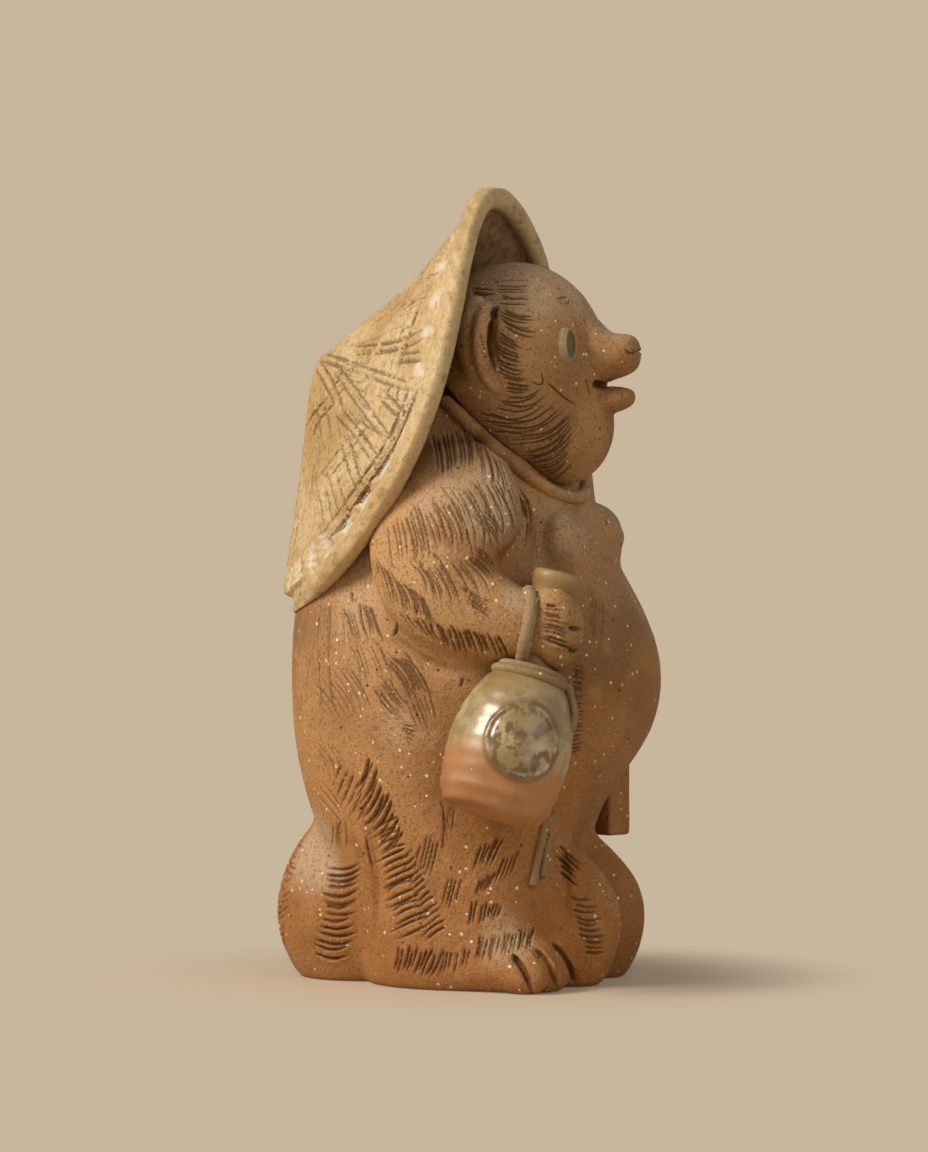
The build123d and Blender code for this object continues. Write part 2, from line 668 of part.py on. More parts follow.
with BuildPart() as hat_cord:
    with BuildLine(neck_plane) as cord_path:
        CenterArc((0, 0), CORD_RING_RADIUS, 270 - CORD_SWEEP / 2, CORD_SWEEP)
    with BuildSketch(Plane(cord_path.line @ 0, x_dir=neck_normal, z_dir=cord_path.line % 0)):
        Circle(CORD_RADIUS)
    sweep()
    add(head_skin.part, mode=Mode.SUBTRACT)
    add(torso_skin.part, mode=Mode.SUBTRACT)

# Medallion pressed on the outer side of the flask
medallion_skin = turned(
    flask_side(-MEDALLION_RISE),
    [(FLASK_NECK_RADIUS, neck_foot), (0, neck_foot)],
)
medallion_centre = flask_plane.from_local_coords(Vector(0, 0, FLASK_BODY_HEIGHT * 0.52))
medallion_facing = flask_plane.x_dir * -cos(radians(MEDALLION_TURN)) - flask_plane.y_dir * sin(radians(MEDALLION_TURN))

with BuildPart() as flask_medallion:
    with BuildSketch(place(medallion_centre, flask_plane.z_dir, medallion_facing)):
        Circle(MEDALLION_RADIUS)
    extrude(amount=2 * FLASK_RADIUS)
    add(medallion_skin, mode=Mode.INTERSECT)
    add(flask_outside, mode=Mode.SUBTRACT)

# Cord round the flask's shoulder, the strap over the wrist, the knot and the two cord ends
collar_plane = flask_plane.offset(FLASK_BODY_HEIGHT + FLASK_CORD_RADIUS * 0.4)

with BuildPart() as flask_cord_ring:
    with BuildSketch(Plane(collar_plane.origin, x_dir=collar_plane.x_dir, z_dir=-collar_plane.y_dir)):
        with Locations((FLASK_SHOULDER_RADIUS * 0.9, 0)):
            Circle(FLASK_CORD_RADIUS)
    revolve(axis=Axis(collar_plane.origin, collar_plane.z_dir))
    add(flask_outside, mode=Mode.SUBTRACT)
    add(torso_skin.part, mode=Mode.SUBTRACT)
    add(arm_right.part, mode=Mode.SUBTRACT)
    add(paw_right.part, mode=Mode.SUBTRACT)

with BuildPart() as flask_strap:
    with BuildLine(ahead(PAW_FORWARD * WRIST_SHARE, PAW_HEIGHT, -PAW_OUT)) as strap_path:
        CenterArc((0, 0), WRIST_RADIUS + FLASK_CORD_RADIUS * 0.8, STRAP_START, STRAP_SWEEP)
    with BuildSketch(Plane(strap_path.line @ 0, x_dir=(0, 1, 0), z_dir=strap_path.line % 0)):
        Circle(FLASK_CORD_RADIUS)
    sweep()
    add(arm_right.part, mode=Mode.SUBTRACT)
    add(paw_right.part, mode=Mode.SUBTRACT)
    add(flask_outside, mode=Mode.SUBTRACT)
    add(flask_cord_ring.part, mode=Mode.SUBTRACT)

knot_local = Vector(0, -FLASK_SHOULDER_RADIUS - KNOT_HALF_WIDTH / 2, FLASK_BODY_HEIGHT - KNOT_HALF_HEIGHT * 0.8)
knot_form = ellipsoid(flask_plane.from_local_coords(knot_local), (KNOT_HALF_WIDTH, KNOT_HALF_WIDTH, KNOT_HALF_HEIGHT))

with BuildPart() as flask_cord_knot:
    add(knot_form)
    add(flask_outside, mode=Mode.SUBTRACT)
    add(flask_cord_ring.part, mode=Mode.SUBTRACT)
    add(flask_medallion.part, mode=Mode.SUBTRACT)


def cord_end(side):
    """Cord end that lies on the hip below the flask."""
    stations = []
    for drop in (0.0, 0.5, 1.0):
        level = CORD_END_TOP - CORD_END_LENGTH * drop
        forward = torso_front_at(side, level) + FLASK_CORD_RADIUS * 0.5
        stations.append(((-side, -forward, level), (0, 0, -1), FLASK_CORD_RADIUS, FLASK_CORD_RADIUS))
    return limb(stations)


cord_end_inner = cord_end(CORD_END_SIDE - FLASK_CORD_RADIUS * 0.8)
cord_end_outer = cord_end(CORD_END_SIDE + FLASK_CORD_RADIUS * 0.8)

with BuildPart() as flask_cord_end:
    add(cord_end_inner)
    add(cord_end_outer)
    add(torso_skin.part, mode=Mode.SUBTRACT)
    add(flask_outside, mode=Mode.SUBTRACT)

# Account book: a thick block with its page edges cut in
book_normal = (sin(radians(BOOK_TURN)), -cos(radians(BOOK_TURN)), 0)
book_plane = Plane((BOOK_OUT, -BOOK_FORWARD, BOOK_FOOT_HEIGHT), x_dir=(0, 0, 1), z_dir=book_normal)

with BuildPart() as account_book:
    with BuildSketch(book_plane):
        with Locations((BOOK_HEIGHT / 2, 0)):
            Rectangle(BOOK_HEIGHT, BOOK_WIDTH)
    extrude(amount=BOOK_THICKNESS / 2, both=True)
    for page in range(1, BOOK_PAGES):
        with BuildSketch(book_plane.offset(BOOK_THICKNESS * (page / BOOK_PAGES - 0.5) - PAGE_CUT / 2)):
            with Locations((BOOK_HEIGHT / 2, -BOOK_WIDTH / 2), (BOOK_HEIGHT / 2, BOOK_WIDTH / 2)):
                Rectangle(BOOK_HEIGHT, 2 * PAGE_CUT)
        extrude(amount=PAGE_CUT, mode=Mode.SUBTRACT)
    add(torso_skin.part, mode=Mode.SUBTRACT)
    add(arm_left.part, mode=Mode.SUBTRACT)
    add(paw_left.part, mode=Mode.SUBTRACT)

# Tail, pouches and feet
tail_middle = TAIL_REACH - TAIL_HALF_WIDTH * 1.06
tail_depth = TAIL_REACH - tail_middle
tail_form = lofted(
    [
        (0.0, TAIL_HALF_WIDTH * 0.85, tail_depth * 0.7, tail_depth * 0.74, 2),
        (TAIL_HEIGHT * 0.18, TAIL_HALF_WIDTH * 0.97, tail_depth * 0.7, tail_depth * 0.94, 2),
        (TAIL_HEIGHT * 0.4, TAIL_HALF_WIDTH, tail_depth * 0.7, tail_depth, 2),
        (TAIL_HEIGHT * 0.62, TAIL_HALF_WIDTH * 0.9, tail_depth * 0.7, tail_depth * 0.89, 2),
        (TAIL_HEIGHT * 0.82, TAIL_HALF_WIDTH * 0.64, tail_depth * 0.6, tail_depth * 0.64, 2),
        (TAIL_HEIGHT, TAIL_HALF_WIDTH * 0.2, tail_depth * 0.4, tail_depth * 0.34, 2),
    ],
    Plane((0, tail_middle, 0)),
)

with BuildPart() as tail:
    add(tail_form)
    add(torso_skin.part, mode=Mode.SUBTRACT)

pouch_depth = POUCH_REACH - POUCH_MIDDLE


def make_pouch(side):
    """Pear-shaped pouch in front of the legs, trimmed where the two meet."""
    form = lofted(
        [
            (0.0, POUCH_HALF_WIDTH * 0.75, pouch_depth * 0.7, pouch_depth * 0.5, 2),
            (POUCH_HEIGHT * 0.19, POUCH_HALF_WIDTH * 0.95, pouch_depth * 0.92, pouch_depth * 0.5, 2),
            (POUCH_HEIGHT * 0.41, POUCH_HALF_WIDTH, pouch_depth, pouch_depth * 0.5, 2),
            (POUCH_HEIGHT * 0.65, POUCH_HALF_WIDTH * 0.86, pouch_depth * 0.86, pouch_depth * 0.5, 2),
            (POUCH_HEIGHT * 0.85, POUCH_HALF_WIDTH * 0.55, pouch_depth * 0.49, pouch_depth * 0.4, 2),
            (POUCH_HEIGHT, POUCH_HALF_WIDTH * 0.23, pouch_depth * 0.18, pouch_depth * 0.2, 2),
        ],
        Plane((side * POUCH_SPREAD, -POUCH_MIDDLE, 0)),
    )
    with BuildPart() as pouch:
        add(form)
        split(bisect_by=Plane.YZ, keep=Keep.TOP if side == LEFT else Keep.BOTTOM)
        add(torso_skin.part, mode=Mode.SUBTRACT)
    return pouch


pouch_right = make_pouch(RIGHT)
pouch_left = make_pouch(LEFT)
toe_half_width = FOOT_HALF_WIDTH * 1.1 / TOES


def make_foot(side, pouch):
    """Foot with its toes, flat underneath, seated on the leg and beside the pouch."""
    instep = lofted(
        [
            (FOOT_REACH * 0.16, FOOT_HALF_WIDTH * 0.9, FOOT_HEIGHT * 0.5, FOOT_HEIGHT * 0.75, 2),
            (FOOT_REACH * 0.55, FOOT_HALF_WIDTH, FOOT_HEIGHT * 0.5, FOOT_HEIGHT * 0.62, 2),
            (FOOT_REACH * 0.84, FOOT_HALF_WIDTH * 0.9, FOOT_HEIGHT * 0.45, FOOT_HEIGHT * 0.36, 2),
            (FOOT_REACH * 0.95, FOOT_HALF_WIDTH * 0.6, FOOT_HEIGHT * 0.35, FOOT_HEIGHT * 0.1, 2),
        ],
        ahead(0.0, FOOT_HEIGHT * 0.36, side * FOOT_SPREAD),
    )
    toes = []
    for toe in range(TOES):
        out = toe_half_width * 2 * (toe - (TOES - 1) / 2)
        forward = FOOT_REACH - TOE_HALF_LENGTH - TOE_CURVE * (out / FOOT_HALF_WIDTH) ** 2
        centre = (side * (out + FOOT_SPREAD), -forward, TOE_HALF_HEIGHT * 0.8)
        toes.append(ellipsoid(centre, (toe_half_width, TOE_HALF_LENGTH, TOE_HALF_HEIGHT)))
    with BuildPart() as foot:
        add(instep)
        for toe_form in toes:
            add(toe_form)
        split(bisect_by=Plane.XY, keep=Keep.TOP)
        add(torso_skin.part, mode=Mode.SUBTRACT)
        add(pouch.part, mode=Mode.SUBTRACT)
    return foot


foot_right = make_foot(RIGHT, pouch_right)
foot_left = make_foot(LEFT, pouch_left)

# Nipples
nipple_share = ((NIPPLE_SPREAD - BREAST_SPREAD) / BREAST_WIDTH) ** 2 + (NIPPLE_LIFT / BREAST_RISE) ** 2
nipple_forward = breast_forward + BREAST_DEPTH * sqrt(1 - nipple_share)


def make_nipple(side):
    """Small button of clay on the breast."""
    with BuildPart() as nipple:
        with BuildSketch(ahead(nipple_forward, BREAST_HEIGHT + NIPPLE_LIFT, side * NIPPLE_SPREAD)):
            Circle(NIPPLE_RADIUS)
        extrude(amount=NIPPLE_RADIUS * 0.4, both=True)
        add(torso_skin.part, mode=Mode.SUBTRACT)
    return nipple


nipple_right = make_nipple(RIGHT)
nipple_left = make_nipple(LEFT)

pieces = {
    "torso_front": torso_front,
    "torso_back": torso_back,
    "head": head,
    "jaw": jaw,
    "eye_right": eye_right,
    "eye_left": eye_left,
    "ear_right": ear_right,
    "ear_left": ear_left,
    "hat": hat,
    "hat_rim": hat_rim,
    "hat_wad": hat_wad,
    "hat_cord": hat_cord,
    "arm_right": arm_right,
    "arm_left": arm_left,
    "paw_right": paw_right,
    "paw_left": paw_left,
    "flask": flask,
    "flask_medallion": flask_medallion,
    "flask_cord_ring": flask_cord_ring,
    "flask_strap": flask_strap,
    "flask_cord_knot": flask_cord_knot,
    "flask_cord_end": flask_cord_end,
    "account_book": account_book,
    "tail": tail,
    "pouch_right": pouch_right,
    "pouch_left": pouch_left,
    "foot_right": foot_right,
    "foot_left": foot_left,
    "nipple_right": nipple_right,
    "nipple_left": nipple_left,
}

os.makedirs("parts", exist_ok=True)
for name, piece in pieces.items():
    piece.part.label = name
    export_step(piece.part, f"parts/{name}.step")
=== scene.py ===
import logging
import math
from dataclasses import dataclass
from enum import Enum
from typing import Any, Iterable, Sequence, Union

import bmesh
import bpy
import numpy as np
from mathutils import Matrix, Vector
from mathutils.bvhtree import BVHTree


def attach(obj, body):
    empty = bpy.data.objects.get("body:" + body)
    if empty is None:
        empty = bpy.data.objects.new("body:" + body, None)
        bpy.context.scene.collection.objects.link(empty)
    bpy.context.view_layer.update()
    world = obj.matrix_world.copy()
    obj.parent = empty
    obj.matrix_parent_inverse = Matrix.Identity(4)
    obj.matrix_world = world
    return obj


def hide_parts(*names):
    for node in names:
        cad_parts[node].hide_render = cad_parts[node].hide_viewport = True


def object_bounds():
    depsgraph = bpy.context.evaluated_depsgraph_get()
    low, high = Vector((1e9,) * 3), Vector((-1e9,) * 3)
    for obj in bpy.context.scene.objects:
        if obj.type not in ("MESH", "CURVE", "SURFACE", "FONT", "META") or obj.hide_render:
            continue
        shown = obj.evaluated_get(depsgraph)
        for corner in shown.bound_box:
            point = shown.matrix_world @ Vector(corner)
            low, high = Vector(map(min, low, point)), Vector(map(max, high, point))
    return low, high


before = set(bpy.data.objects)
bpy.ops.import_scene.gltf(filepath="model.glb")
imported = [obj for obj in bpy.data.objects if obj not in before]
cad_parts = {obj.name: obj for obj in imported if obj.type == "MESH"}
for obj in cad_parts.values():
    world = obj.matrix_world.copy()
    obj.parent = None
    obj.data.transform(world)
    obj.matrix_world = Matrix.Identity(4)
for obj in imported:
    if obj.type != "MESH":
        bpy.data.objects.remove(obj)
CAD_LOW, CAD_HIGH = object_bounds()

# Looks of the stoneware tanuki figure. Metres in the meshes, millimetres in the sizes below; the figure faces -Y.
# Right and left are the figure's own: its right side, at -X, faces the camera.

LOG = logging.getLogger("tanuki")
MM = 0.001
BODY = "root"
IMAGE_WIDTH = 928
IMAGE_HEIGHT = 1152
TRIANGLE_LIMIT = 190_000
SEAM_WIDTH = 1.2  # millimetres of skin on each side of the middle plane that are never thinned
SIGHT = 20.0  # metres that a line of sight reaches

Colour = tuple[float, float, float]
Pixel = tuple[float, float]
Point = tuple[float, float, float]
Value = Union["Wire", float, int, tuple, bpy.types.Object, bpy.types.Material, str]


class Wire:
    """Output socket of a node; arithmetic on it adds Math nodes."""

    def __init__(self, graph: "Graph", socket: bpy.types.NodeSocket) -> None:
        """Keep the graph and the socket.

        Args:
            graph: the graph that the socket belongs to.
            socket: an output socket.
        """
        self.graph = graph
        self.socket = socket

    def _math(self, operation: str, first: Value, second: Value) -> "Wire":
        """Add one Math node.

        Args:
            operation: the Math node's operation.
            first: its first value or link.
            second: its second value or link.

        Returns:
            The node's output.
        """
        return self.graph.node("ShaderNodeMath", {"operation": operation}, {0: first, 1: second})

    def __add__(self, other: Value) -> "Wire":
        """Sum."""
        return self._math("ADD", self, other)

    def __radd__(self, other: Value) -> "Wire":
        """Sum, reflected."""
        return self._math("ADD", other, self)

    def __sub__(self, other: Value) -> "Wire":
        """Difference."""
        return self._math("SUBTRACT", self, other)

    def __rsub__(self, other: Value) -> "Wire":
        """Difference, reflected."""
        return self._math("SUBTRACT", other, self)

    def __mul__(self, other: Value) -> "Wire":
        """Product."""
        return self._math("MULTIPLY", self, other)

    def __truediv__(self, other: Value) -> "Wire":
        """Quotient."""
        return self._math("DIVIDE", self, other)

    def twin(self, name: str) -> "Wire":
        """Another output of the same node."""
        return Wire(self.graph, self.socket.node.outputs[name])


class Graph:
    """A shader or geometry node tree that is written as expressions."""

    def __init__(self, tree: bpy.types.NodeTree) -> None:
        """Keep the tree."""
        self.tree = tree

    def node(self, kind: str, settings: dict | None = None, inputs: dict | None = None, output: Any = 0) -> Wire:
        """Add a node, set it, then fill its sockets.

        Args:
            kind: the node's type name.
            settings: attributes of the node.
            inputs: value or link for each input socket, by name or index.
            output: name or index of the output to return.

        Returns:
            The chosen output, or the first input where the node has no output.
        """
        item = self.tree.nodes.new(kind)
        for key, value in (settings or {}).items():
            setattr(item, key, value)
        for key, value in (inputs or {}).items():
            socket = item.inputs[key]
            if isinstance(value, Wire):
                self.tree.links.new(value.socket, socket)
            else:
                socket.default_value = value
        return Wire(self, item.outputs[output]) if item.outputs else Wire(self, item.inputs[0])

    def ramped(self, value: Value, low: float, high: float, start: float = 0.0, end: float = 1.0) -> Wire:
        """Smooth step of a value.

        Args:
            value: what is mapped.
            low: where the step begins.
            high: where it ends.
            start: result at and before low.
            end: result at and after high.

        Returns:
            The mapped value.
        """
        return self.node(
            "ShaderNodeMapRange",
            {"interpolation_type": "SMOOTHSTEP"},
            {"Value": value, "From Min": low, "From Max": high, "To Min": start, "To Max": end},
        )

    def noise(self, vector: Value, size: float, detail: float = 3.0) -> Wire:
        """Noise whose blotches are about the given size.

        Args:
            vector: coordinates in metres.
            size: size of a blotch in millimetres.
            detail: octaves of finer noise.

        Returns:
            Noise around 0.5.
        """
        return self.node(
            "ShaderNodeTexNoise",
            {"noise_dimensions": "3D"},
            {"Vector": vector, "Scale": 1000.0 / size, "Detail": detail, "Roughness": 0.55},
        )

    def stored(self, name: str) -> Wire:
        """Number that a mesh keeps at its vertices."""
        return self.node("ShaderNodeAttribute", {"attribute_name": name}, output="Fac")

    def cells(self, vector: Value, scale: float, channel: str) -> tuple[Wire, Wire]:
        """Spots scattered over a surface.

        Args:
            vector: coordinates in metres.
            scale: spots in a metre.
            channel: colour channel from which each spot's own number is taken.

        Returns:
            Distance from the nearest spot, and that spot's own number.
        """
        spots = self.node("ShaderNodeTexVoronoi", {"feature": "F1"}, {"Vector": vector, "Scale": scale})
        own = self.node("ShaderNodeSeparateColor", inputs={0: spots.twin("Color")}, output=channel)
        return spots, own

    def bump(self, height: Value, strength: float, distance: float) -> Wire:
        """Fine relief of a surface.

        Args:
            height: the relief.
            strength: share of it that shows.
            distance: its height in metres.

        Returns:
            The normal.
        """
        return self.node("ShaderNodeBump", {}, {"Strength": strength, "Distance": distance, "Height": height})

    def blend(self, first: Value, second: Value, factor: Value) -> Wire:
        """Mix two colours.

        Args:
            first: colour at factor 0.
            second: colour at factor 1.
            factor: share of the second.

        Returns:
            The mixed colour.
        """
        colours = [(*c, 1.0) if isinstance(c, tuple) and len(c) == 3 else c for c in (first, second)]
        return self.node(
            "ShaderNodeMix",
            {"data_type": "RGBA"},
            {"Factor": factor, 6: colours[0], 7: colours[1]},
            2,
        )


def shader(name: str) -> tuple[bpy.types.Material, Graph]:
    """New node material with only an output.

    Args:
        name: the material's name.

    Returns:
        The material and the graph of its tree.
    """
    material = bpy.data.materials.new(name)
    material.use_nodes = True
    material.node_tree.nodes.clear()
    return material, Graph(material.node_tree)


def finish_shader(graph: Graph, inputs: dict[str, Value]) -> None:
    """Add the Principled shader and the output.

    Args:
        graph: the material's graph.
        inputs: values and links of the shader.
    """
    surface = graph.node("ShaderNodeBsdfPrincipled", {}, inputs)
    graph.node("ShaderNodeOutputMaterial", {}, {"Surface": surface})


@dataclass(frozen=True)
class ClayFinish:
    """Unglazed, wood-fired stoneware with feldspar grit and ash, with painted shade on its front and in its cut
    strokes.
    """

    name: str
    tan: Colour = (0.53, 0.300, 0.130)
    brown: Colour = (0.20, 0.084, 0.024)
    orange: Colour = (0.37, 0.142, 0.034)
    ash: Colour = (0.49, 0.335, 0.205)
    # Colour of the painted shade in the cut strokes
    groove: Colour = (0.072, 0.028, 0.009)
    grit: Colour = (0.78, 0.64, 0.42)
    iron: Colour = (0.075, 0.033, 0.017)
    roughness: float = 0.56

    def build(self) -> bpy.types.Material:
        """Make the material.

        Returns:
            The clay material.
        """
        material, graph = shader(self.name)
        place = graph.node("ShaderNodeTexCoord", output="Object")
        spot = graph.node("ShaderNodeSeparateXYZ", inputs={0: place}, output="Z")
        forward = spot.twin("Y")
        groove = graph.stored("groove")
        ash = graph.stored("ash")
        broad = graph.noise(place, 75.0, 2.0)
        middle = graph.noise(place, 15.0, 4.0)
        fine = graph.noise(place, 1.5, 3.0)
        grain = graph.noise(place, 0.55, 1.0)
        flame = graph.ramped(spot + (broad - 0.5) * 0.14, 0.02, 0.17, 1.0, 0.0)
        # Painted shade: the front, toward -Y, is darkened toward brown, fully below 170 mm and at 0.3 strength above
        # 250 mm.
        painted_front_shade = graph.ramped(forward + (broad - 0.5) * 0.06, 0.02, -0.07, 0.0, 1.0)
        painted_front_shade = painted_front_shade * graph.ramped(spot, 0.25, 0.17, 0.3, 1.0)
        body = graph.blend(self.tan, self.brown, graph.ramped(broad, 0.38, 0.68) * 0.75)
        body = graph.blend(body, self.brown, painted_front_shade * 0.33)
        body = graph.blend(body, self.orange, flame * 0.7)
        body = graph.blend(body, self.tan, graph.ramped(middle, 0.52, 0.75) * 0.45)
        body = graph.blend(body, self.brown, graph.ramped(middle, 0.48, 0.25) * 0.5)
        body = graph.blend(body, self.ash, graph.ramped(ash * (0.55 + middle * 0.9), 0.12, 0.85) * 0.85)
        body = graph.blend(body, self.brown, graph.ramped(fine, 0.50, 0.66) * 0.6)
        body = graph.blend(body, self.ash, graph.ramped(grain, 0.60, 0.72) * 0.3)
        specks, chance = graph.cells(place, 300.0, "Red")
        size = graph.ramped(chance, 0.62, 1.0, 0.04, 0.25)
        bright = graph.ramped(specks - size, 0.03, -0.02) * graph.ramped(chance, 0.62, 0.64)
        body = graph.blend(body, self.grit, bright * (1.0 - groove))
        pits, rare = graph.cells(place, 210.0, "Green")
        hole = graph.ramped(pits, 0.17, 0.09) * graph.ramped(rare, 0.84, 0.86)
        body = graph.blend(body, self.iron, hole * 0.85)
        body = graph.blend(body, self.orange, graph.ramped(graph.noise(place, 34.0, 4.0), 0.52, 0.70) * 0.5)
        # Painted shade: the cut strokes are darkened toward the groove colour.
        body = graph.blend(body, self.groove, graph.ramped(groove, 0.25, 1.0) * 0.62)
        height = fine * 0.9 + grain * 0.6 + bright * 0.5 - hole * 1.4
        bump = graph.bump(height, 0.7, 0.0009)
        rough = self.roughness + (middle - 0.5) * 0.35 + groove * 0.2
        finish_shader(
            graph,
            {"Base Color": body, "Roughness": rough, "Normal": bump, "Specular IOR Level": 0.22},
        )
        return material


@dataclass(frozen=True)
class HatFinish:
    """Ochre ash glaze over incised straw, with painted shade in the cut lines."""

    name: str = "hat_glaze"
    ochre: Colour = (0.45, 0.285, 0.115)
    cream: Colour = (0.58, 0.420, 0.220)
    olive: Colour = (0.28, 0.185, 0.060)
    burnt: Colour = (0.21, 0.100, 0.034)
    pooled: Colour = (0.70, 0.640, 0.540)
    # Colour of the painted shade in the cut lines
    groove: Colour = (0.085, 0.043, 0.016)
    underside_dark: Colour = (0.23, 0.115, 0.045)
    underside_darker: Colour = (0.10, 0.045, 0.018)

    def build(self) -> bpy.types.Material:
        """Make the material.

        Returns:
            The hat's glaze.
        """
        material, graph = shader(self.name)
        place = graph.node("ShaderNodeTexCoord", output="Object")
        groove = graph.stored("groove")
        dimple = graph.stored("dimple")
        inner = graph.stored("inner")
        rim = graph.stored("rim")
        broad = graph.noise(place, 40.0, 3.0)
        middle = graph.noise(place, 6.5, 4.0)
        fine = graph.noise(place, 1.3, 3.0)
        body = graph.blend(self.ochre, self.cream, graph.ramped(broad, 0.35, 0.62))
        body = graph.blend(body, self.olive, graph.ramped(middle, 0.52, 0.70) * 0.6)
        body = graph.blend(body, self.burnt, graph.ramped(middle, 0.44, 0.28) * 0.5)
        mottle = graph.noise(place, 2.8, 4.0)
        body = graph.blend(body, self.olive, graph.ramped(mottle, 0.50, 0.66) * 0.45)
        body = graph.blend(body, self.cream, rim * 0.45)
        body = graph.blend(body, self.burnt, rim * graph.ramped(middle, 0.46, 0.30) * 0.4 * (1.0 - dimple))
        pool = graph.ramped(dimple, 0.20, 0.95) * graph.ramped(middle, 0.30, 0.6)
        body = graph.blend(body, self.pooled, pool * 0.7)
        body = graph.blend(body, self.burnt, graph.ramped(fine, 0.54, 0.70) * 0.45)
        # Painted shade: the cut lines are darkened toward the groove colour.
        body = graph.blend(body, self.groove, graph.ramped(groove, 0.15, 1.0) * 0.62)
        # The underside, facing away from the crown, is coloured darker, with darker blotches.
        dark = graph.ramped(graph.noise(place, 4.0, 3.0), 0.48, 0.62)
        body = graph.blend(body, graph.blend(self.underside_dark, self.underside_darker, dark), inner * 0.85)
        bump = graph.bump(fine, 0.45, 0.0008)
        rough = 0.48 + (middle - 0.5) * 0.35 - dimple * 0.08 + inner * 0.2 + groove * 0.2
        finish_shader(
            graph,
            {
                "Base Color": body,
                "Roughness": rough,
                "Normal": bump,
                "Coat Weight": 0.04 + dimple * 0.06,
                "Coat Roughness": 0.3,
                "Specular IOR Level": 0.35,
            },
        )
        return material


@dataclass(frozen=True)
class JarFinish:
    """Runny ash glaze on the upper part of the flask, bare clay below."""

    name: str = "flask_glaze"
    bare: Colour = (0.43, 0.205, 0.080)
    toast: Colour = (0.33, 0.135, 0.042)
    cream: Colour = (0.50, 0.395, 0.235)
    olive: Colour = (0.270, 0.172, 0.055)
    edge: Colour = (0.095, 0.052, 0.018)
    stain: Colour = (0.150, 0.082, 0.028)
    grit: Colour = (0.78, 0.66, 0.45)

    def build(self) -> bpy.types.Material:
        """Make the material.

        Returns:
            The flask's glaze.
        """
        material, graph = shader(self.name)
        place = graph.node("ShaderNodeTexCoord", output="Object")
        along = graph.stored("along")
        disc = graph.stored("disc")
        ring = graph.stored("ring")
        broad = graph.noise(place, 24.0, 3.0)
        middle = graph.noise(place, 5.5, 4.0)
        fine = graph.noise(place, 1.2, 3.0)
        bare = graph.blend(self.bare, self.toast, graph.ramped(broad, 0.42, 0.68))
        bare = graph.blend(bare, self.toast, graph.ramped(fine, 0.52, 0.68) * 0.4)
        glaze = graph.blend(self.cream, self.olive, graph.ramped(broad, 0.40, 0.60) * 0.85)
        glaze = graph.blend(glaze, self.olive, graph.ramped(along, 0.72, 1.0) * 0.7)
        glaze = graph.blend(glaze, self.olive, graph.ramped(middle, 0.50, 0.66) * 0.7)
        glaze = graph.blend(glaze, self.stain, disc * graph.ramped(middle, 0.46, 0.58) * 0.85)
        glaze = graph.blend(glaze, self.stain, graph.ramped(fine, 0.58, 0.70) * 0.5)
        cover = graph.ramped(along + (broad - 0.5) * 0.35, 0.30, 0.52)
        cover = graph.node("ShaderNodeMath", {"operation": "MAXIMUM"}, {0: cover, 1: disc})
        body = graph.blend(bare, glaze, cover)
        mouth = graph.ramped(along, 1.02, 1.10)
        body = graph.blend(body, self.toast, mouth * graph.ramped(middle, 0.46, 0.62) * 0.6)
        body = graph.blend(body, self.edge, ring * (0.22 + middle * 0.5))
        specks, chance = graph.cells(place, 330.0, "Red")
        bright = graph.ramped(specks, 0.15, 0.09) * graph.ramped(chance, 0.84, 0.86) * (1.0 - cover)
        body = graph.blend(body, self.grit, bright)
        bump = graph.bump(fine + middle * 0.6, 0.25, 0.0006)
        rough = 0.52 - cover * 0.22 + mouth * 0.2
        finish_shader(
            graph,
            {
                "Base Color": body,
                "Roughness": rough,
                "Normal": bump,
                "Coat Weight": cover * 0.5 - mouth * 0.4,
                "Coat Roughness": 0.2,
            },
        )
        return material


@dataclass(frozen=True)
class EyeFinish:
    """Khaki slip with a darker dished pupil."""

    name: str = "eye_slip"
    khaki: Colour = (0.27, 0.195, 0.100)
    pale: Colour = (0.36, 0.275, 0.160)
    pupil: Colour = (0.130, 0.092, 0.042)

    def build(self) -> bpy.types.Material:
        """Make the material.

        Returns:
            The eyes' material.
        """
        material, graph = shader(self.name)
        place = graph.node("ShaderNodeTexCoord", output="Object")
        pupil = graph.stored("pupil")
        groove = graph.stored("groove")
        middle = graph.noise(place, 3.0, 3.0)
        fine = graph.noise(place, 0.6, 2.0)
        body = graph.blend(self.khaki, self.pale, graph.ramped(middle, 0.40, 0.65))
        body = graph.blend(body, self.pupil, pupil * 0.75)
        # Painted shade: a dark line along the edge of the dished pupil, where the surface drops.
        body = graph.blend(body, self.pupil, groove * 0.7)
        body = graph.blend(body, self.pupil, graph.ramped(fine, 0.58, 0.72) * 0.3)
        bump = graph.bump(fine, 0.25, 0.0004)
        finish_shader(
            graph,
            {
                "Base Color": body,
                "Roughness": 0.42 + (middle - 0.5) * 0.2,
                "Normal": bump,
                "Specular IOR Level": 0.25,
            },
        )
        return material


def settle(piece: bpy.types.Object) -> None:
    """Work a piece's modifiers into its mesh.

    Args:
        piece: the object to settle.
    """
    bpy.context.view_layer.update()
    depsgraph = bpy.context.evaluated_depsgraph_get()
    mesh = bpy.data.meshes.new_from_object(piece.evaluated_get(depsgraph), depsgraph=depsgraph)
    piece.modifiers.clear()
    old = piece.data
    piece.data = mesh
    bpy.data.meshes.remove(old)
    mesh.name = piece.name


def new_piece(name: str, mesh: bpy.types.Mesh) -> bpy.types.Object:
    """Put a mesh in the scene at the origin.

    Args:
        name: the object's name.
        mesh: its mesh.

    Returns:
        The object.
    """
    piece = bpy.data.objects.new(name, mesh)
    bpy.context.scene.collection.objects.link(piece)
    return piece


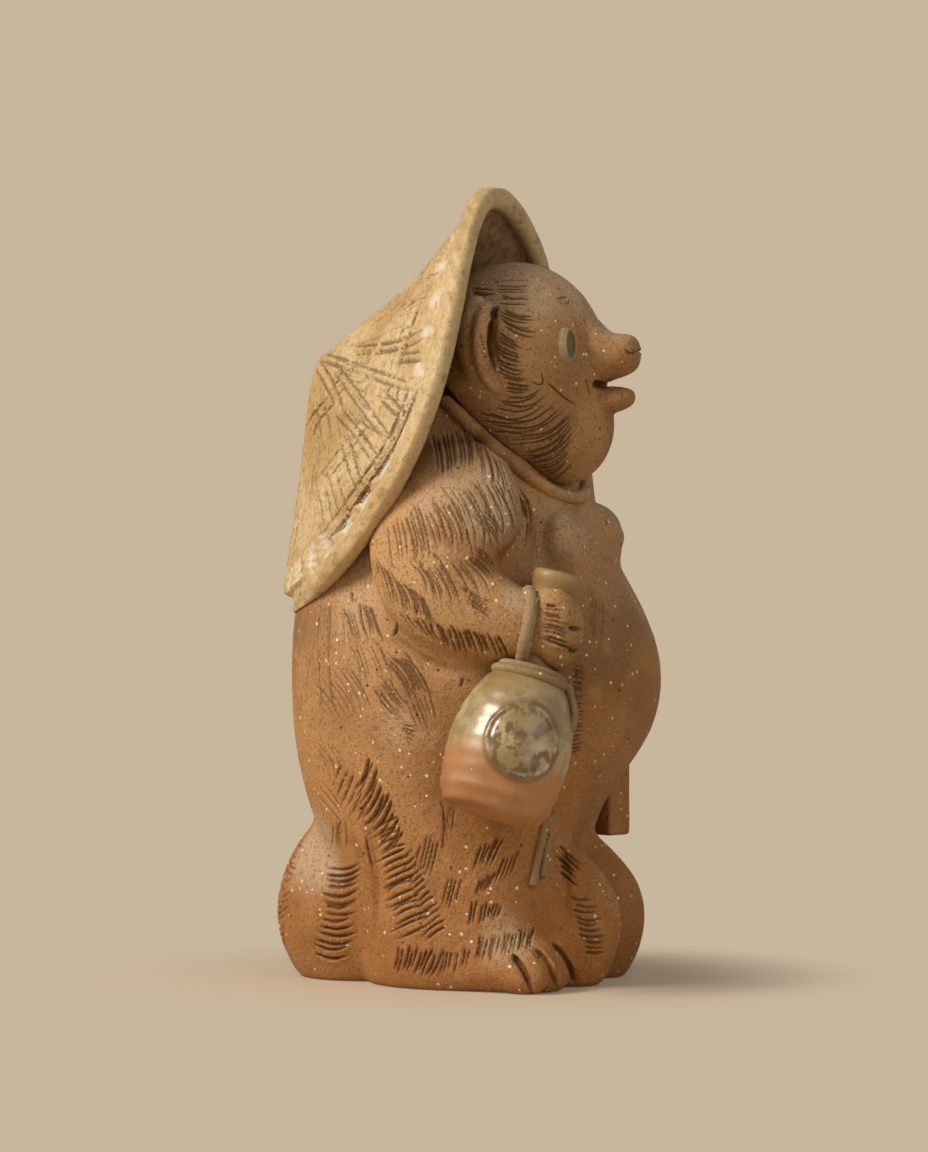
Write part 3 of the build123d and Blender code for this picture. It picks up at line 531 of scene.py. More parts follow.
def joined_copy(name: str, nodes: Iterable[str]) -> bpy.types.Object:
    """Copy of CAD nodes as one object, each welded first.

    Args:
        name: the object's name.
        nodes: names of the nodes.

    Returns:
        The joined object.
    """
    whole = bmesh.new()
    for node in nodes:
        part = bmesh.new()
        part.from_mesh(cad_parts[node].data)
        bmesh.ops.remove_doubles(part, verts=part.verts, dist=1e-6)
        held = bpy.data.meshes.new("held")
        part.to_mesh(held)
        part.free()
        whole.from_mesh(held)
        bpy.data.meshes.remove(held)
    mesh = bpy.data.meshes.new(name)
    whole.to_mesh(mesh)
    whole.free()
    mesh.materials.clear()
    return new_piece(name, mesh)


def piece_of(
    name: str, places: Iterable[np.ndarray], edges: Sequence[tuple[int, int]], faces: Sequence[tuple[int, ...]]
) -> bpy.types.Object:
    """Put a new mesh in the scene.

    Args:
        name: the object's name.
        places: vertex places in millimetres.
        edges: pairs of vertices, for lines.
        faces: rings of vertices.

    Returns:
        The object.
    """
    mesh = bpy.data.meshes.new(name)
    mesh.from_pydata([tuple(place * MM) for place in places], edges, faces)
    return new_piece(name, mesh)


def lathe_faces(rows: int, count: int, inside_out: bool) -> list[tuple[int, ...]]:
    """Faces of a turned skin that is closed at both ends.

    Args:
        rows: rings of vertices, one after another.
        count: vertices of a ring; after the rings come the two end points.
        inside_out: whether the faces run the other way round.

    Returns:
        The vertices of each face.
    """
    pairs = [(step, (step + 1) % count) for step in range(count)]
    if inside_out:
        pairs = [(after, step) for step, after in pairs]
    faces: list[tuple[int, ...]] = []
    for low in range(0, (rows - 1) * count, count):
        faces.extend((low + a, low + b, low + count + b, low + count + a) for a, b in pairs)
    first, last = rows * count, (rows - 1) * count
    for a, b in pairs:
        faces.append((first, b, a))
        faces.append((first + 1, last + a, last + b))
    return faces


def skin_of(piece: bpy.types.Object) -> BVHTree:
    """Search tree of a piece's skin, in metres."""
    bpy.context.view_layer.update()
    return BVHTree.FromObject(piece, bpy.context.evaluated_depsgraph_get())


def edge_ends(mesh: bpy.types.Mesh) -> tuple[np.ndarray, np.ndarray]:
    """First and second vertex of each edge of a mesh."""
    ends = np.empty(len(mesh.edges) * 2, np.int32)
    mesh.edges.foreach_get("vertices", ends)
    return ends[0::2], ends[1::2]


def coordinates(mesh: bpy.types.Mesh) -> np.ndarray:
    """Vertex places of a mesh, in millimetres, one row each."""
    flat = np.empty(len(mesh.vertices) * 3, np.float32)
    mesh.vertices.foreach_get("co", flat)
    return flat.reshape(-1, 3).astype(float) / MM


def move_to(mesh: bpy.types.Mesh, places: np.ndarray) -> None:
    """Set a mesh's vertices, kept inside the box of the solids.

    Args:
        mesh: the mesh.
        places: vertex places in millimetres.
    """
    inside = np.clip(places * MM, np.array(CAD_LOW) + 1e-5, np.array(CAD_HIGH) - 1e-5)
    mesh.vertices.foreach_set("co", inside.astype(np.float32).ravel())
    mesh.update()


def set_attribute(mesh: bpy.types.Mesh, name: str, values: np.ndarray) -> None:
    """Store one number at each vertex.

    Args:
        mesh: the mesh.
        name: the attribute's name.
        values: one value for each vertex.
    """
    layer = mesh.attributes.get(name) or mesh.attributes.new(name, "FLOAT", "POINT")
    layer.data.foreach_set("value", values.astype(np.float32))


def smooth_step(values: np.ndarray, low: float, high: float) -> np.ndarray:
    """Smooth step from 0 at low to 1 at high."""
    share = np.clip((values - low) / (high - low), 0.0, 1.0)
    return share * share * (3.0 - 2.0 * share)


def smoothed(piece: bpy.types.Object, rounds: int) -> None:
    """Soften a piece's skin, and work in its other modifiers.

    Args:
        piece: the object.
        rounds: smoothing rounds.
    """
    soften = piece.modifiers.new("soften", "SMOOTH")
    soften.factor = 0.5
    soften.iterations = rounds
    settle(piece)


def remeshed(piece: bpy.types.Object, voxel: float, rounds: int) -> None:
    """Fuse a piece's parts into one skin and soften its joins.

    Args:
        piece: the object.
        voxel: size of the voxels in millimetres.
        rounds: smoothing rounds.
    """
    remesh = piece.modifiers.new("fuse", "REMESH")
    remesh.mode = "VOXEL"
    remesh.voxel_size = voxel * MM
    smoothed(piece, rounds)


def thinned(piece: bpy.types.Object, triangles: int, keep_seam: bool = False) -> None:
    """Collapse a piece's plain places until it has no more than the given triangles.

    Args:
        piece: a carved object; where its skin is cut, the groove attribute spares it.
        triangles: the most triangles to keep.
        keep_seam: whether the skin at the figure's middle plane is spared too.
    """
    present = sum(len(p.vertices) - 2 for p in piece.data.polygons)
    if present <= triangles:
        return
    collapse = piece.modifiers.new("thin", "DECIMATE")
    collapse.ratio = triangles / present
    cut = np.empty(len(piece.data.vertices), np.float32)
    piece.data.attributes["groove"].data.foreach_get("value", cut)
    first, second = edge_ends(piece.data)
    for _ in range(2):
        spread = cut.copy()
        np.maximum.at(spread, first, cut[second])
        np.maximum.at(spread, second, cut[first])
        cut = spread
    group = piece.vertex_groups.new(name="plain")
    for level in np.linspace(0.0, 1.0, 5):
        chosen = np.flatnonzero(np.abs(cut - level) <= 0.125)
        group.add(chosen.tolist(), float(1.0 - 0.9 * level), "REPLACE")
    if keep_seam:
        seam = np.flatnonzero(np.abs(coordinates(piece.data)[:, 0]) < SEAM_WIDTH)
        group.add(seam.tolist(), 0.0, "REPLACE")
    collapse.vertex_group = "plain"
    collapse.vertex_group_factor = 1.0
    settle(piece)
    piece.vertex_groups.clear()
    move_to(piece.data, coordinates(piece.data))


def dress(piece: bpy.types.Object, material: bpy.types.Material, nodes: Sequence[str]) -> None:
    """Shade, and hand the piece to the frame.

    Args:
        piece: the finished object.
        material: its material.
        nodes: CAD nodes that it stands for.
    """
    piece.data.materials.clear()
    piece.data.materials.append(material)
    piece.data.shade_smooth()
    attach(piece, BODY)
    if nodes:
        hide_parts(*nodes)
    LOG.info("%s: %d faces", piece.name, len(piece.data.polygons))


def vertex_normals(mesh: bpy.types.Mesh) -> np.ndarray:
    """Vertex normals of a mesh, one row each."""
    flat = np.empty(len(mesh.vertices) * 3, np.float32)
    mesh.vertex_normals.foreach_get("vector", flat)
    return flat.reshape(-1, 3).astype(float)


def filled(piece: bpy.types.Object, rounds: int, keep: np.ndarray) -> None:
    """Fill the sharp inner corners of a skin, as smeared clay does, and leave its bulges alone.

    Args:
        piece: the object.
        rounds: rounds of filling.
        keep: share of the filling at each vertex.
    """
    mesh = piece.data
    count = len(mesh.vertices)
    first, second = edge_ends(mesh)
    degree = np.bincount(first, minlength=count) + np.bincount(second, minlength=count)
    places = coordinates(mesh)
    share = 0.8 * keep
    for turn in range(rounds):
        if turn % 6 == 0:
            mesh.vertices.foreach_set("co", (places * MM).astype(np.float32).ravel())
            mesh.update()
            normals = vertex_normals(mesh)
        lift = np.zeros(count)
        for axis in range(3):
            value = places[:, axis]
            total = np.bincount(first, value[second], count) + np.bincount(second, value[first], count)
            lift += (total / degree - value) * normals[:, axis]
        places += normals * (np.maximum(lift, 0.0) * share)[:, None]
    mesh.vertices.foreach_set("co", (places * MM).astype(np.float32).ravel())
    mesh.update()


def refined(piece: bpy.types.Object) -> None:
    """Split each face of a piece in four on a smooth surface.

    Args:
        piece: the object.
    """
    finer = piece.modifiers.new("finer", "SUBSURF")
    finer.levels = 1
    finer.render_levels = 1
    settle(piece)


def half_of(piece: bpy.types.Object, name: str, side: float) -> bpy.types.Object:
    """Copy of a piece's half on one side of the figure's middle plane, closed at the cut.

    Args:
        piece: the whole piece.
        name: the half's name.
        side: -1 for the figure's right half, 1 for its left half.

    Returns:
        The half.
    """
    work = bmesh.new()
    work.from_mesh(piece.data)
    everything = work.verts[:] + work.edges[:] + work.faces[:]
    cut = bmesh.ops.bisect_plane(
        work, geom=everything, dist=1e-7, plane_co=(0, 0, 0), plane_no=(side, 0, 0), clear_inner=True
    )
    rim = [item for item in cut["geom_cut"] if isinstance(item, bmesh.types.BMEdge)]
    bmesh.ops.triangle_fill(work, use_beauty=False, use_dissolve=False, edges=rim, normal=(-side, 0, 0))
    mesh = bpy.data.meshes.new(name)
    work.to_mesh(mesh)
    work.free()
    return new_piece(name, mesh)


class Flow(Enum):
    """How the strokes of a patch run."""

    COMB = "along one direction"
    RING = "round an axis through a point"


@dataclass
class HairPatch:
    """Patch of combed strokes; sizes in millimetres.

    The patch is the ellipsoid round centre with the half sizes in reach. Lead is the direction of a comb or the
    axis of a ring, and pivot the point that a ring goes round.
    """

    name: str
    centre: Point
    reach: Point
    flow: Flow
    lead: Point = (0.0, 0.0, -1.0)
    pivot: Point = (0.0, 0.0, 0.0)
    length: tuple[float, float] = (10.0, 18.0)
    spacing: float = 2.6
    breadth: float = 0.8
    depth: float = 0.7
    sway: float = 0.12

    def heading(self, place: np.ndarray) -> np.ndarray:
        """Direction of the strokes at a place.

        Args:
            place: point in millimetres.

        Returns:
            The direction, not yet laid in the surface.
        """
        way = np.array(self.lead)
        if self.flow is Flow.RING:
            way = np.cross(way, place - np.array(self.pivot))
        return way / (np.linalg.norm(way) + 1e-9)


def rounded(path: Sequence[Pixel], step: float) -> np.ndarray:
    """Points along a path whose corners are rounded off.

    Args:
        path: corners of the path.
        step: distance between points, in the path's unit.

    Returns:
        One row for each point.
    """
    points = np.array(path, float)
    for _ in range(3 if len(points) > 2 else 0):
        first = points[:-1] * 0.75 + points[1:] * 0.25
        second = points[:-1] * 0.25 + points[1:] * 0.75
        middle = np.stack([first, second], axis=1).reshape(-1, points.shape[1])
        points = np.concatenate([points[:1], middle, points[-1:]])
    lengths = np.concatenate([[0.0], np.cumsum(np.linalg.norm(np.diff(points, axis=0), axis=1))])
    places = np.linspace(0.0, lengths[-1], max(int(lengths[-1] / step) + 1, 3))
    return np.stack([np.interp(places, lengths, points[:, axis]) for axis in range(points.shape[1])], axis=-1)


@dataclass(frozen=True)
class SeenComb:
    """Row of strokes set out on the photographed view.

    Starts and ends are the lines on which the strokes begin and end, in the view's pixels. Bow is how far a stroke
    bulges to its right-hand side, as a share of its length. Depth and breadth, the half width, are in millimetres.
    """

    starts: tuple[Pixel, Pixel]
    ends: tuple[Pixel, Pixel]
    count: int
    depth: float = 0.95
    breadth: float = 0.8
    bow: float = 0.0
    mirrored: bool = True

    def paths(self, random: np.random.Generator) -> list[list[Pixel]]:
        """Set out the strokes with a hand's unevenness.

        Args:
            random: source of the unevenness.

        Returns:
            Three or more corners for each stroke, in pixels.
        """
        first, second = np.array(self.starts, float)
        third, fourth = np.array(self.ends, float)
        made = []
        for index in range(self.count):
            share = (index + 0.5 + random.uniform(-0.22, 0.22)) / self.count
            start = first + (second - first) * share
            end = third + (fourth - third) * share
            way = end - start
            start = start + way * random.uniform(-0.10, 0.12)
            end = end - way * random.uniform(-0.10, 0.16)
            way = end - start
            side = np.array([-way[1], way[0]])
            middle = (start + end) / 2 + side * (self.bow + random.normal(0.0, 0.025)) * 1.35
            made.append([tuple(start), tuple(middle), tuple(end)])
        return made


@dataclass(frozen=True)
class SeenLine:
    """One cut set out on the photographed view, in its pixels; depth and half width in millimetres."""

    path: tuple[Pixel, ...]
    depth: float = 0.9
    breadth: float = 0.8
    mirrored: bool = True


class StrokeSheet:
    """Strokes drawn on a piece, kept as one mesh of open lines.

    Step is the distance between points in millimetres, pixel step that in pixels of the view, and a leap of more
    millimetres than given breaks a line that passes from one form to another. Tries are the most places at which a
    patch is offered a stroke.
    """

    STEP = 1.0
    PIXEL_STEP = 1.4
    LEAP = 6.0
    TRIES = 2500

    def __init__(self, piece: bpy.types.Object, seed: int) -> None:
        """Take the surface to draw on.

        Args:
            piece: object with its final skin.
            seed: seed of the hand's small changes.
        """
        self.tree = skin_of(piece)
        count = len(piece.data.polygons)
        flat = np.empty(count * 3, np.float32)
        piece.data.polygons.foreach_get("center", flat)
        self.centres = flat.reshape(-1, 3).astype(float) / MM
        self.areas = np.empty(count, np.float32)
        piece.data.polygons.foreach_get("area", self.areas)
        self.random = np.random.default_rng(seed)
        self.points: list[np.ndarray] = []
        self.edges: list[tuple[int, int]] = []
        self.cuts: list[float] = []
        self.breadths: list[float] = []

    def on_surface(self, place: np.ndarray) -> tuple[np.ndarray, np.ndarray]:
        """Nearest point of the skin.

        Args:
            place: point in millimetres.

        Returns:
            The point and the normal there.
        """
        hit, normal, _, _ = self.tree.find_nearest(Vector(place * MM))
        return np.array(hit) / MM, np.array(normal)

    def add(self, line: Sequence[np.ndarray], depth: float, breadth: float) -> None:
        """Keep one stroke, deepest near its start and fading at its end.

        Args:
            line: points on the skin, in millimetres.
            depth: depth of the cut in millimetres.
            breadth: half width of the cut in millimetres.
        """
        start = len(self.points)
        last = max(len(line) - 1, 1)
        for index, point in enumerate(line):
            share = index / last
            fade = min(1.0, 0.35 + share * 5.0, 0.15 + (1.0 - share) * 2.2)
            self.points.append(point)
            self.cuts.append(depth * fade)
            self.breadths.append(breadth * (0.75 + 0.25 * fade))
            if index:
                self.edges.append((start + index - 1, start + index))

    def traced(self, patch: HairPatch, seed: np.ndarray, length: float, turn: float) -> list[np.ndarray]:
        """Follow the patch's flow from a point.

        Args:
            patch: the patch.
            seed: middle of the stroke.
            length: its length in millimetres.
            turn: how far the stroke swerves, as a share of a radian.

        Returns:
            Points along the stroke.
        """
        halves = []
        for way in (-1.0, 1.0):
            here = seed
            line = []
            for _ in range(int(length / 2 / self.STEP)):
                place, normal = self.on_surface(here)
                heading = patch.heading(place)
                heading = heading - normal * heading.dot(normal)
                heading = heading / (np.linalg.norm(heading) + 1e-9)
                heading = heading * math.cos(turn) + np.cross(normal, heading) * math.sin(turn)
                line.append(place)
                here = place + heading * self.STEP * way
            halves.append(line)
        return halves[0][:0:-1] + halves[1]

    def comb(self, patch: HairPatch) -> None:
        """Fill a patch with strokes that keep their distance.

        Args:
            patch: the patch to fill.
        """
        apart = (self.centres - np.array(patch.centre)) / np.array(patch.reach)
        chosen = np.flatnonzero(np.linalg.norm(apart, axis=1) < 1.0)
        weights = self.areas[chosen] / self.areas[chosen].sum()
        tries = min(len(chosen), self.TRIES)
        kept_at: list[np.ndarray] = []
        kept_way: list[np.ndarray] = []
        kept_length: list[float] = []
        for index in self.random.choice(chosen, tries, replace=False, p=weights):
            place = self.centres[index]
            length = self.random.uniform(*patch.length)
            way = patch.heading(place)
            if kept_at:
                apart = np.array(kept_at) - place
                along = np.abs((apart * np.array(kept_way)).sum(1))
                across = np.sqrt(np.maximum((apart * apart).sum(1) - along * along, 0.0))
                crowded = (across < patch.spacing) & (along < 0.5 * (np.array(kept_length) + length) * 0.95)
                if crowded.any():
                    continue
            kept_at.append(place)
            kept_way.append(way)
            kept_length.append(length)
            line = self.traced(patch, place, length, self.random.normal(0.0, patch.sway))
            if len(line) > 2:
                strength = self.random.uniform(0.7, 1.15)
                self.add(line, patch.depth * strength, patch.breadth * self.random.uniform(0.8, 1.2))
        LOG.info("%s: %d strokes", patch.name, len(kept_at))

    def draw(self, line: Sequence[np.ndarray], depth: float, breadth: float, mirrored: bool, far: float) -> None:
        """Keep one stroke and, where asked, its mirror image on the figure's other side.

        Args:
            line: points on the skin, in millimetres.
            depth: depth of the cut in millimetres.
            breadth: half width of the cut in millimetres.
            mirrored: whether the other side gets it too.
            far: how far off the skin a mirrored point may be, in millimetres.
        """
        if len(line) < 3:
            return
        self.add(line, depth, breadth)
        if mirrored:
            twin = []
            for point in line:
                image = point * np.array([-1.0, 1.0, 1.0])
                place, _ = self.on_surface(image)
                if np.linalg.norm(place - image) < far:
                    twin.append(place)
            if len(twin) == len(line):
                self.add(twin, depth, breadth)

    def struck(self, studio: "Studio", pixel: Sequence[float]) -> tuple[np.ndarray, np.ndarray, float] | None:
        """Where the line of sight through a pixel meets the skin.

        Args:
            studio: the studio, whose camera looks.
            pixel: the pixel, from the top left of the view.

        Returns:
            The point in millimetres, the normal there and the distance in metres, or None beside the skin.
        """
        origin, way = studio.ray(pixel)
        hit, normal, _, span = self.tree.ray_cast(Vector(origin * MM), Vector(way), SIGHT)
        return None if hit is None else (np.array(hit) / MM, np.array(normal), span)

    def seen(self, studio: "Studio", path: Sequence[Pixel]) -> list[np.ndarray]:
        """Project a path of the photographed view onto the skin.

        Args:
            studio: the studio, whose camera sees the path.
            path: corners of the path in the view's pixels.

        Returns:
            The longest unbroken run of points on the skin, in millimetres.
        """
        runs: list[list[np.ndarray]] = [[]]
        for pixel in rounded(path, self.PIXEL_STEP):
            met = self.struck(studio, pixel)
            if met is None:
                runs.append([])
                continue
            if runs[-1] and np.linalg.norm(met[0] - runs[-1][-1]) > self.LEAP:
                runs.append([])
            runs[-1].append(met[0])
        return max(runs, key=len)

    def set_out(
        self, studio: "Studio", combs: Iterable[SeenComb], lines: Iterable[SeenLine], far: float
    ) -> None:
        """Draw combs and single lines that are set out on the photographed view.

        Args:
            studio: the studio, whose camera sees them.
            combs: the combs.
            lines: the single lines.
            far: how far off the skin a mirrored point may be, in millimetres.
        """
        for comb in combs:
            for path in comb.paths(self.random):
                depth = comb.depth * self.random.uniform(0.9, 1.45)
                breadth = comb.breadth * self.random.uniform(0.95, 1.35)
                self.draw(self.seen(studio, path), depth, breadth, comb.mirrored, far)
        for line in lines:
            self.draw(self.seen(studio, line.path), line.depth, line.breadth, line.mirrored, far)

    def built(self, name: str) -> bpy.types.Object:
        """Make the lines' mesh.

        Args:
            name: the object's name.

        Returns:
            Helper object with the cut and breadth of each point in millimetres.
        """
        lines = piece_of(name, self.points, self.edges, [])
        set_attribute(lines.data, "cut", np.array(self.cuts))
        set_attribute(lines.data, "breadth", np.array(self.breadths))
        return lines


class GeometryTree:
    """Geometry Nodes tree with named inputs, for one modifier at a time."""

    def __init__(self, name: str, inputs: Sequence[tuple[str, str, Any]]) -> None:
        """Make the tree and its sockets.

        Args:
            name: the tree's name.
            inputs: name, socket type and default of each input after the geometry.
        """
        self.tree = bpy.data.node_groups.new(name, "GeometryNodeTree")
        self.tree.interface.new_socket("Geometry", in_out="INPUT", socket_type="NodeSocketGeometry")
        self.tree.interface.new_socket("Geometry", in_out="OUTPUT", socket_type="NodeSocketGeometry")
        for label, kind, default in inputs:
            socket = self.tree.interface.new_socket(label, in_out="INPUT", socket_type=kind)
            if default is not None:
                socket.default_value = default
        self.graph = Graph(self.tree)
        self.start = self.graph.node("NodeGroupInput", output="Geometry")

    def given(self, label: str) -> Wire:
        """The named input's wire."""
        return self.start.twin(label)

    def ends(self, geometry: Wire, material: Value) -> None:
        """Realise, give the material and close the tree.

        Args:
            geometry: the last geometry.
            material: the material's wire.
        """
        realised = self.graph.node("GeometryNodeRealizeInstances", {}, {"Geometry": geometry})
        coloured = self.graph.node("GeometryNodeSetMaterial", {}, {"Geometry": realised, "Material": material})
        self.graph.node("NodeGroupOutput", {}, {"Geometry": coloured})

    def work_on(self, piece: bpy.types.Object, values: dict[str, Any]) -> None:
        """Run the tree on a piece and keep the result.

        Args:
            piece: the object.
            values: inputs by name.
        """
        names = {
            item.name: item.identifier
            for item in self.tree.interface.items_tree
            if item.item_type == "SOCKET" and item.in_out == "INPUT"
        }
        modifier = piece.modifiers.new(self.tree.name, "NODES")
        modifier.node_group = self.tree
        for label, value in values.items():
            modifier[names[label]] = value
        settle(piece)


def carving_tree() -> GeometryTree:
    """Tree that cuts strokes into a skin, raises a burr beside them and makes the skin uneven.

    Returns:
        The tree; its strokes are a mesh of lines with a cut and a breadth at each point, in millimetres.
    """
    made = GeometryTree(
        "carving",
        [
            ("Strokes", "NodeSocketObject", None),
            ("Burr", "NodeSocketFloat", 0.25),
            ("Unevenness", "NodeSocketFloat", 0.35),
            ("Material", "NodeSocketMaterial", None),
        ],
    )
    graph = made.graph
    lines = graph.node("GeometryNodeObjectInfo", {}, {"Object": made.given("Strokes")}, "Geometry")
    place = graph.node("GeometryNodeInputPosition")
    normal = graph.node("GeometryNodeInputNormal")
    distance = graph.node(
        "GeometryNodeProximity", {"target_element": "EDGES"}, {0: lines, "Sample Position": place}, "Distance"
    )
    nearest = graph.node("GeometryNodeSampleNearest", {"domain": "POINT"}, {0: lines, "Sample Position": place})
    sampled = []
    for label in ("cut", "breadth"):
        stored = graph.node("GeometryNodeInputNamedAttribute", {"data_type": "FLOAT"}, {"Name": label})
        sampled.append(
            graph.node(
                "GeometryNodeSampleIndex",
                {"data_type": "FLOAT", "domain": "POINT"},
                {0: lines, 1: stored, "Index": nearest},
            )
        )
    cut, breadth = sampled
    ragged = graph.noise(place, 1.8, 1.0)
    share = distance * (1.0 / MM) / (breadth * (0.75 + ragged * 0.5))
    groove = graph.ramped(share, 0.15, 1.0, 1.0, 0.0)
    burr = graph.ramped(share, 0.8, 1.35, 0.0, 1.0) * graph.ramped(share, 1.35, 2.3, 1.0, 0.0)
    lumps = graph.noise(place, 22.0, 2.0) - 0.5
    skin = graph.noise(place, 4.5, 2.0) - 0.5
    rise = burr * cut * made.given("Burr") - groove * cut + (lumps + skin * 0.4) * made.given("Unevenness")
    offset = graph.node("ShaderNodeVectorMath", {"operation": "SCALE"}, {0: normal, "Scale": rise * MM})
    # Stored depth of the cut; the materials darken the cut by it as painted shade.
    depth = graph.ramped(groove * cut, 0.0, 0.7)
    stored = graph.node(
        "GeometryNodeStoreNamedAttribute",
        {"data_type": "FLOAT", "domain": "POINT"},
        {"Geometry": made.start, "Name": "groove", "Value": depth},
    )
    moved = graph.node("GeometryNodeSetPosition", {}, {"Geometry": stored, "Offset": offset})
    made.ends(moved, made.given("Material"))
    return made


@dataclass
class Studio:
    """Floor, soft light and the camera."""

    turn: float = 16.0
    rise: float = 3.5
    distance: float = 5000.0
    look_height: float = 180.0
    millimetres_per_pixel: float = 0.445
    look_pixel: Pixel = (472.0, 574.2)
    paper: Colour = (0.578, 0.468, 0.337)
    ambient: Colour = (0.66, 0.62, 0.56)
    ambient_strength: float = 0.50
    lamp_aim: float = 170.0
    lamp_middle: float = 200.0
    key_power: float = 34.0
    key_size: float = 0.75
    key_colour: Colour = (1.0, 0.94, 0.86)
    fill_power: float = 6.0
    fill_size: float = 1.4
    fill_colour: Colour = (1.0, 0.97, 0.93)
    floor_half: float = 3.0
    floor_drop: float = 0.2

    def camera_axes(self) -> tuple[Vector, Vector, Vector]:
        """Directions of the photograph's camera.

        Returns:
            Toward the camera, to its right and up.
        """
        turn, rise = math.radians(self.turn), math.radians(self.rise)
        toward = Vector((-math.cos(turn) * math.cos(rise), -math.sin(turn) * math.cos(rise), math.sin(rise)))
        right = Vector((math.sin(turn), -math.cos(turn), 0.0))
        return toward, right, toward.cross(right)

    def stand(self) -> tuple[Vector, Vector]:
        """Where the camera is and what it aims at.

        Returns:
            The two points, in millimetres.
        """
        toward, right, up = self.camera_axes()
        scale = self.millimetres_per_pixel
        look = Vector((0.0, 0.0, self.look_height))
        aim = look + right * (IMAGE_WIDTH / 2 - self.look_pixel[0]) * scale
        aim += up * (self.look_pixel[1] - IMAGE_HEIGHT / 2) * scale
        return look + toward * self.distance, aim

    def ray(self, pixel: Sequence[float]) -> tuple[np.ndarray, np.ndarray]:
        """Line of sight through a pixel of the view.

        Args:
            pixel: the pixel, from the top left.

        Returns:
            The camera's place in millimetres and the direction.
        """
        place, aim = self.stand()
        forward = (aim - place).normalized()
        right = forward.cross(Vector((0.0, 0.0, 1.0))).normalized()
        up = right.cross(forward)
        scale = self.millimetres_per_pixel
        way = forward * self.distance
        way += right * (pixel[0] - IMAGE_WIDTH / 2) * scale + up * (IMAGE_HEIGHT / 2 - pixel[1]) * scale
        return np.array(place), np.array(way.normalized())

    def make_camera(self) -> None:
        """Set the camera at the photograph's angle and framing."""
        place, aim = self.stand()
        data = bpy.data.cameras.new("camera")
        data.sensor_fit = "AUTO"
        data.sensor_width = 36.0
        data.lens = data.sensor_width * self.distance / (IMAGE_HEIGHT * self.millimetres_per_pixel)
        camera = bpy.data.objects.new("camera", data)
        camera.location = place * MM
        camera.rotation_mode = "QUATERNION"
        camera.rotation_quaternion = (place - aim).to_track_quat("Z", "Y")
        bpy.context.scene.collection.objects.link(camera)
        bpy.context.scene.camera = camera

    def make_lamp(self, name: str, place: Vector, size: float, power: float, colour: Colour) -> None:
        """Add a soft square lamp that faces the figure.

        Args:
            name: the lamp's name.
            place: its place in metres.
            size: its side in metres.
            power: its power in watts.
            colour: its colour.
        """
        data = bpy.data.lights.new(name, "AREA")
        data.size = size
        data.energy = power
        data.color = colour
        lamp = bpy.data.objects.new(name, data)
        lamp.location = place
        lamp.rotation_mode = "QUATERNION"
        lamp.rotation_quaternion = (place - Vector((0.0, 0.0, self.lamp_aim * MM))).to_track_quat("Z", "Y")
        bpy.context.scene.collection.objects.link(lamp)

    def make_floor(self) -> None:
        """Add the floor: pale paper near the figure, which fades into the colour of the surroundings."""
        material, graph = shader("floor_paper")
        place = graph.node("ShaderNodeTexCoord", output="Object")
        away = graph.node("ShaderNodeVectorMath", {"operation": "LENGTH"}, {0: place}, "Value")
        tint = graph.blend(self.paper, tuple(c * 0.97 for c in self.paper), graph.noise(place, 300.0))
        paper = graph.node(
            "ShaderNodeBsdfPrincipled", {}, {"Base Color": tint, "Roughness": 0.9, "Specular IOR Level": 0.05}
        )
        glow = graph.node("ShaderNodeEmission", {}, {"Color": (*self.paper, 1.0), "Strength": 1.0})
        ray = graph.node("ShaderNodeLightPath", output="Is Camera Ray")
        share = (0.15 + graph.ramped(away, 0.085, 0.19) * 0.85) * ray
        mixed = graph.node("ShaderNodeMixShader", {}, {0: share, 1: paper, 2: glow})
        graph.node("ShaderNodeOutputMaterial", {}, {"Surface": mixed})
        mesh = bpy.data.meshes.new("floor")
        half = self.floor_half
        corners = [(-half, -half, 0), (half, -half, 0), (half, half, 0), (-half, half, 0)]
        mesh.from_pydata(corners, [], [(0, 1, 2, 3)])
        mesh.materials.append(material)
        floor = new_piece("floor", mesh)
        floor.location = (0.0, 0.0, -self.floor_drop * MM)

    def make_world(self) -> None:
        """Even light from all round; the camera sees the paper's colour in it."""
        world = bpy.data.worlds.new("studio")
        bpy.context.scene.world = world
        world.use_nodes = True
        world.node_tree.nodes.clear()
        graph = Graph(world.node_tree)
        ray = graph.node("ShaderNodeLightPath", output="Is Camera Ray")
        colour = graph.blend(self.ambient, self.paper, ray)
        strength = self.ambient_strength + ray * (1.0 - self.ambient_strength)
        light = graph.node("ShaderNodeBackground", {}, {"Color": colour, "Strength": strength})
        graph.node("ShaderNodeOutputWorld", {}, {"Surface": light})

    def build(self) -> None:
        """Make camera, lamps, floor and surroundings."""
        toward, right, up = self.camera_axes()
        self.make_camera()
        middle = Vector((0.0, 0.0, self.lamp_middle * MM))
        key = middle - right * 1.25 + up * 1.05 + toward * 0.75
        fill = middle + right * 1.2 + up * 0.6 + toward * 1.2
        self.make_lamp("key", key, self.key_size, self.key_power, self.key_colour)
        self.make_lamp("fill", fill, self.fill_size, self.fill_power, self.fill_colour)
        self.make_floor()
        self.make_world()
        bpy.context.scene.view_settings.view_transform = "Standard"
        LOG.info("studio set")


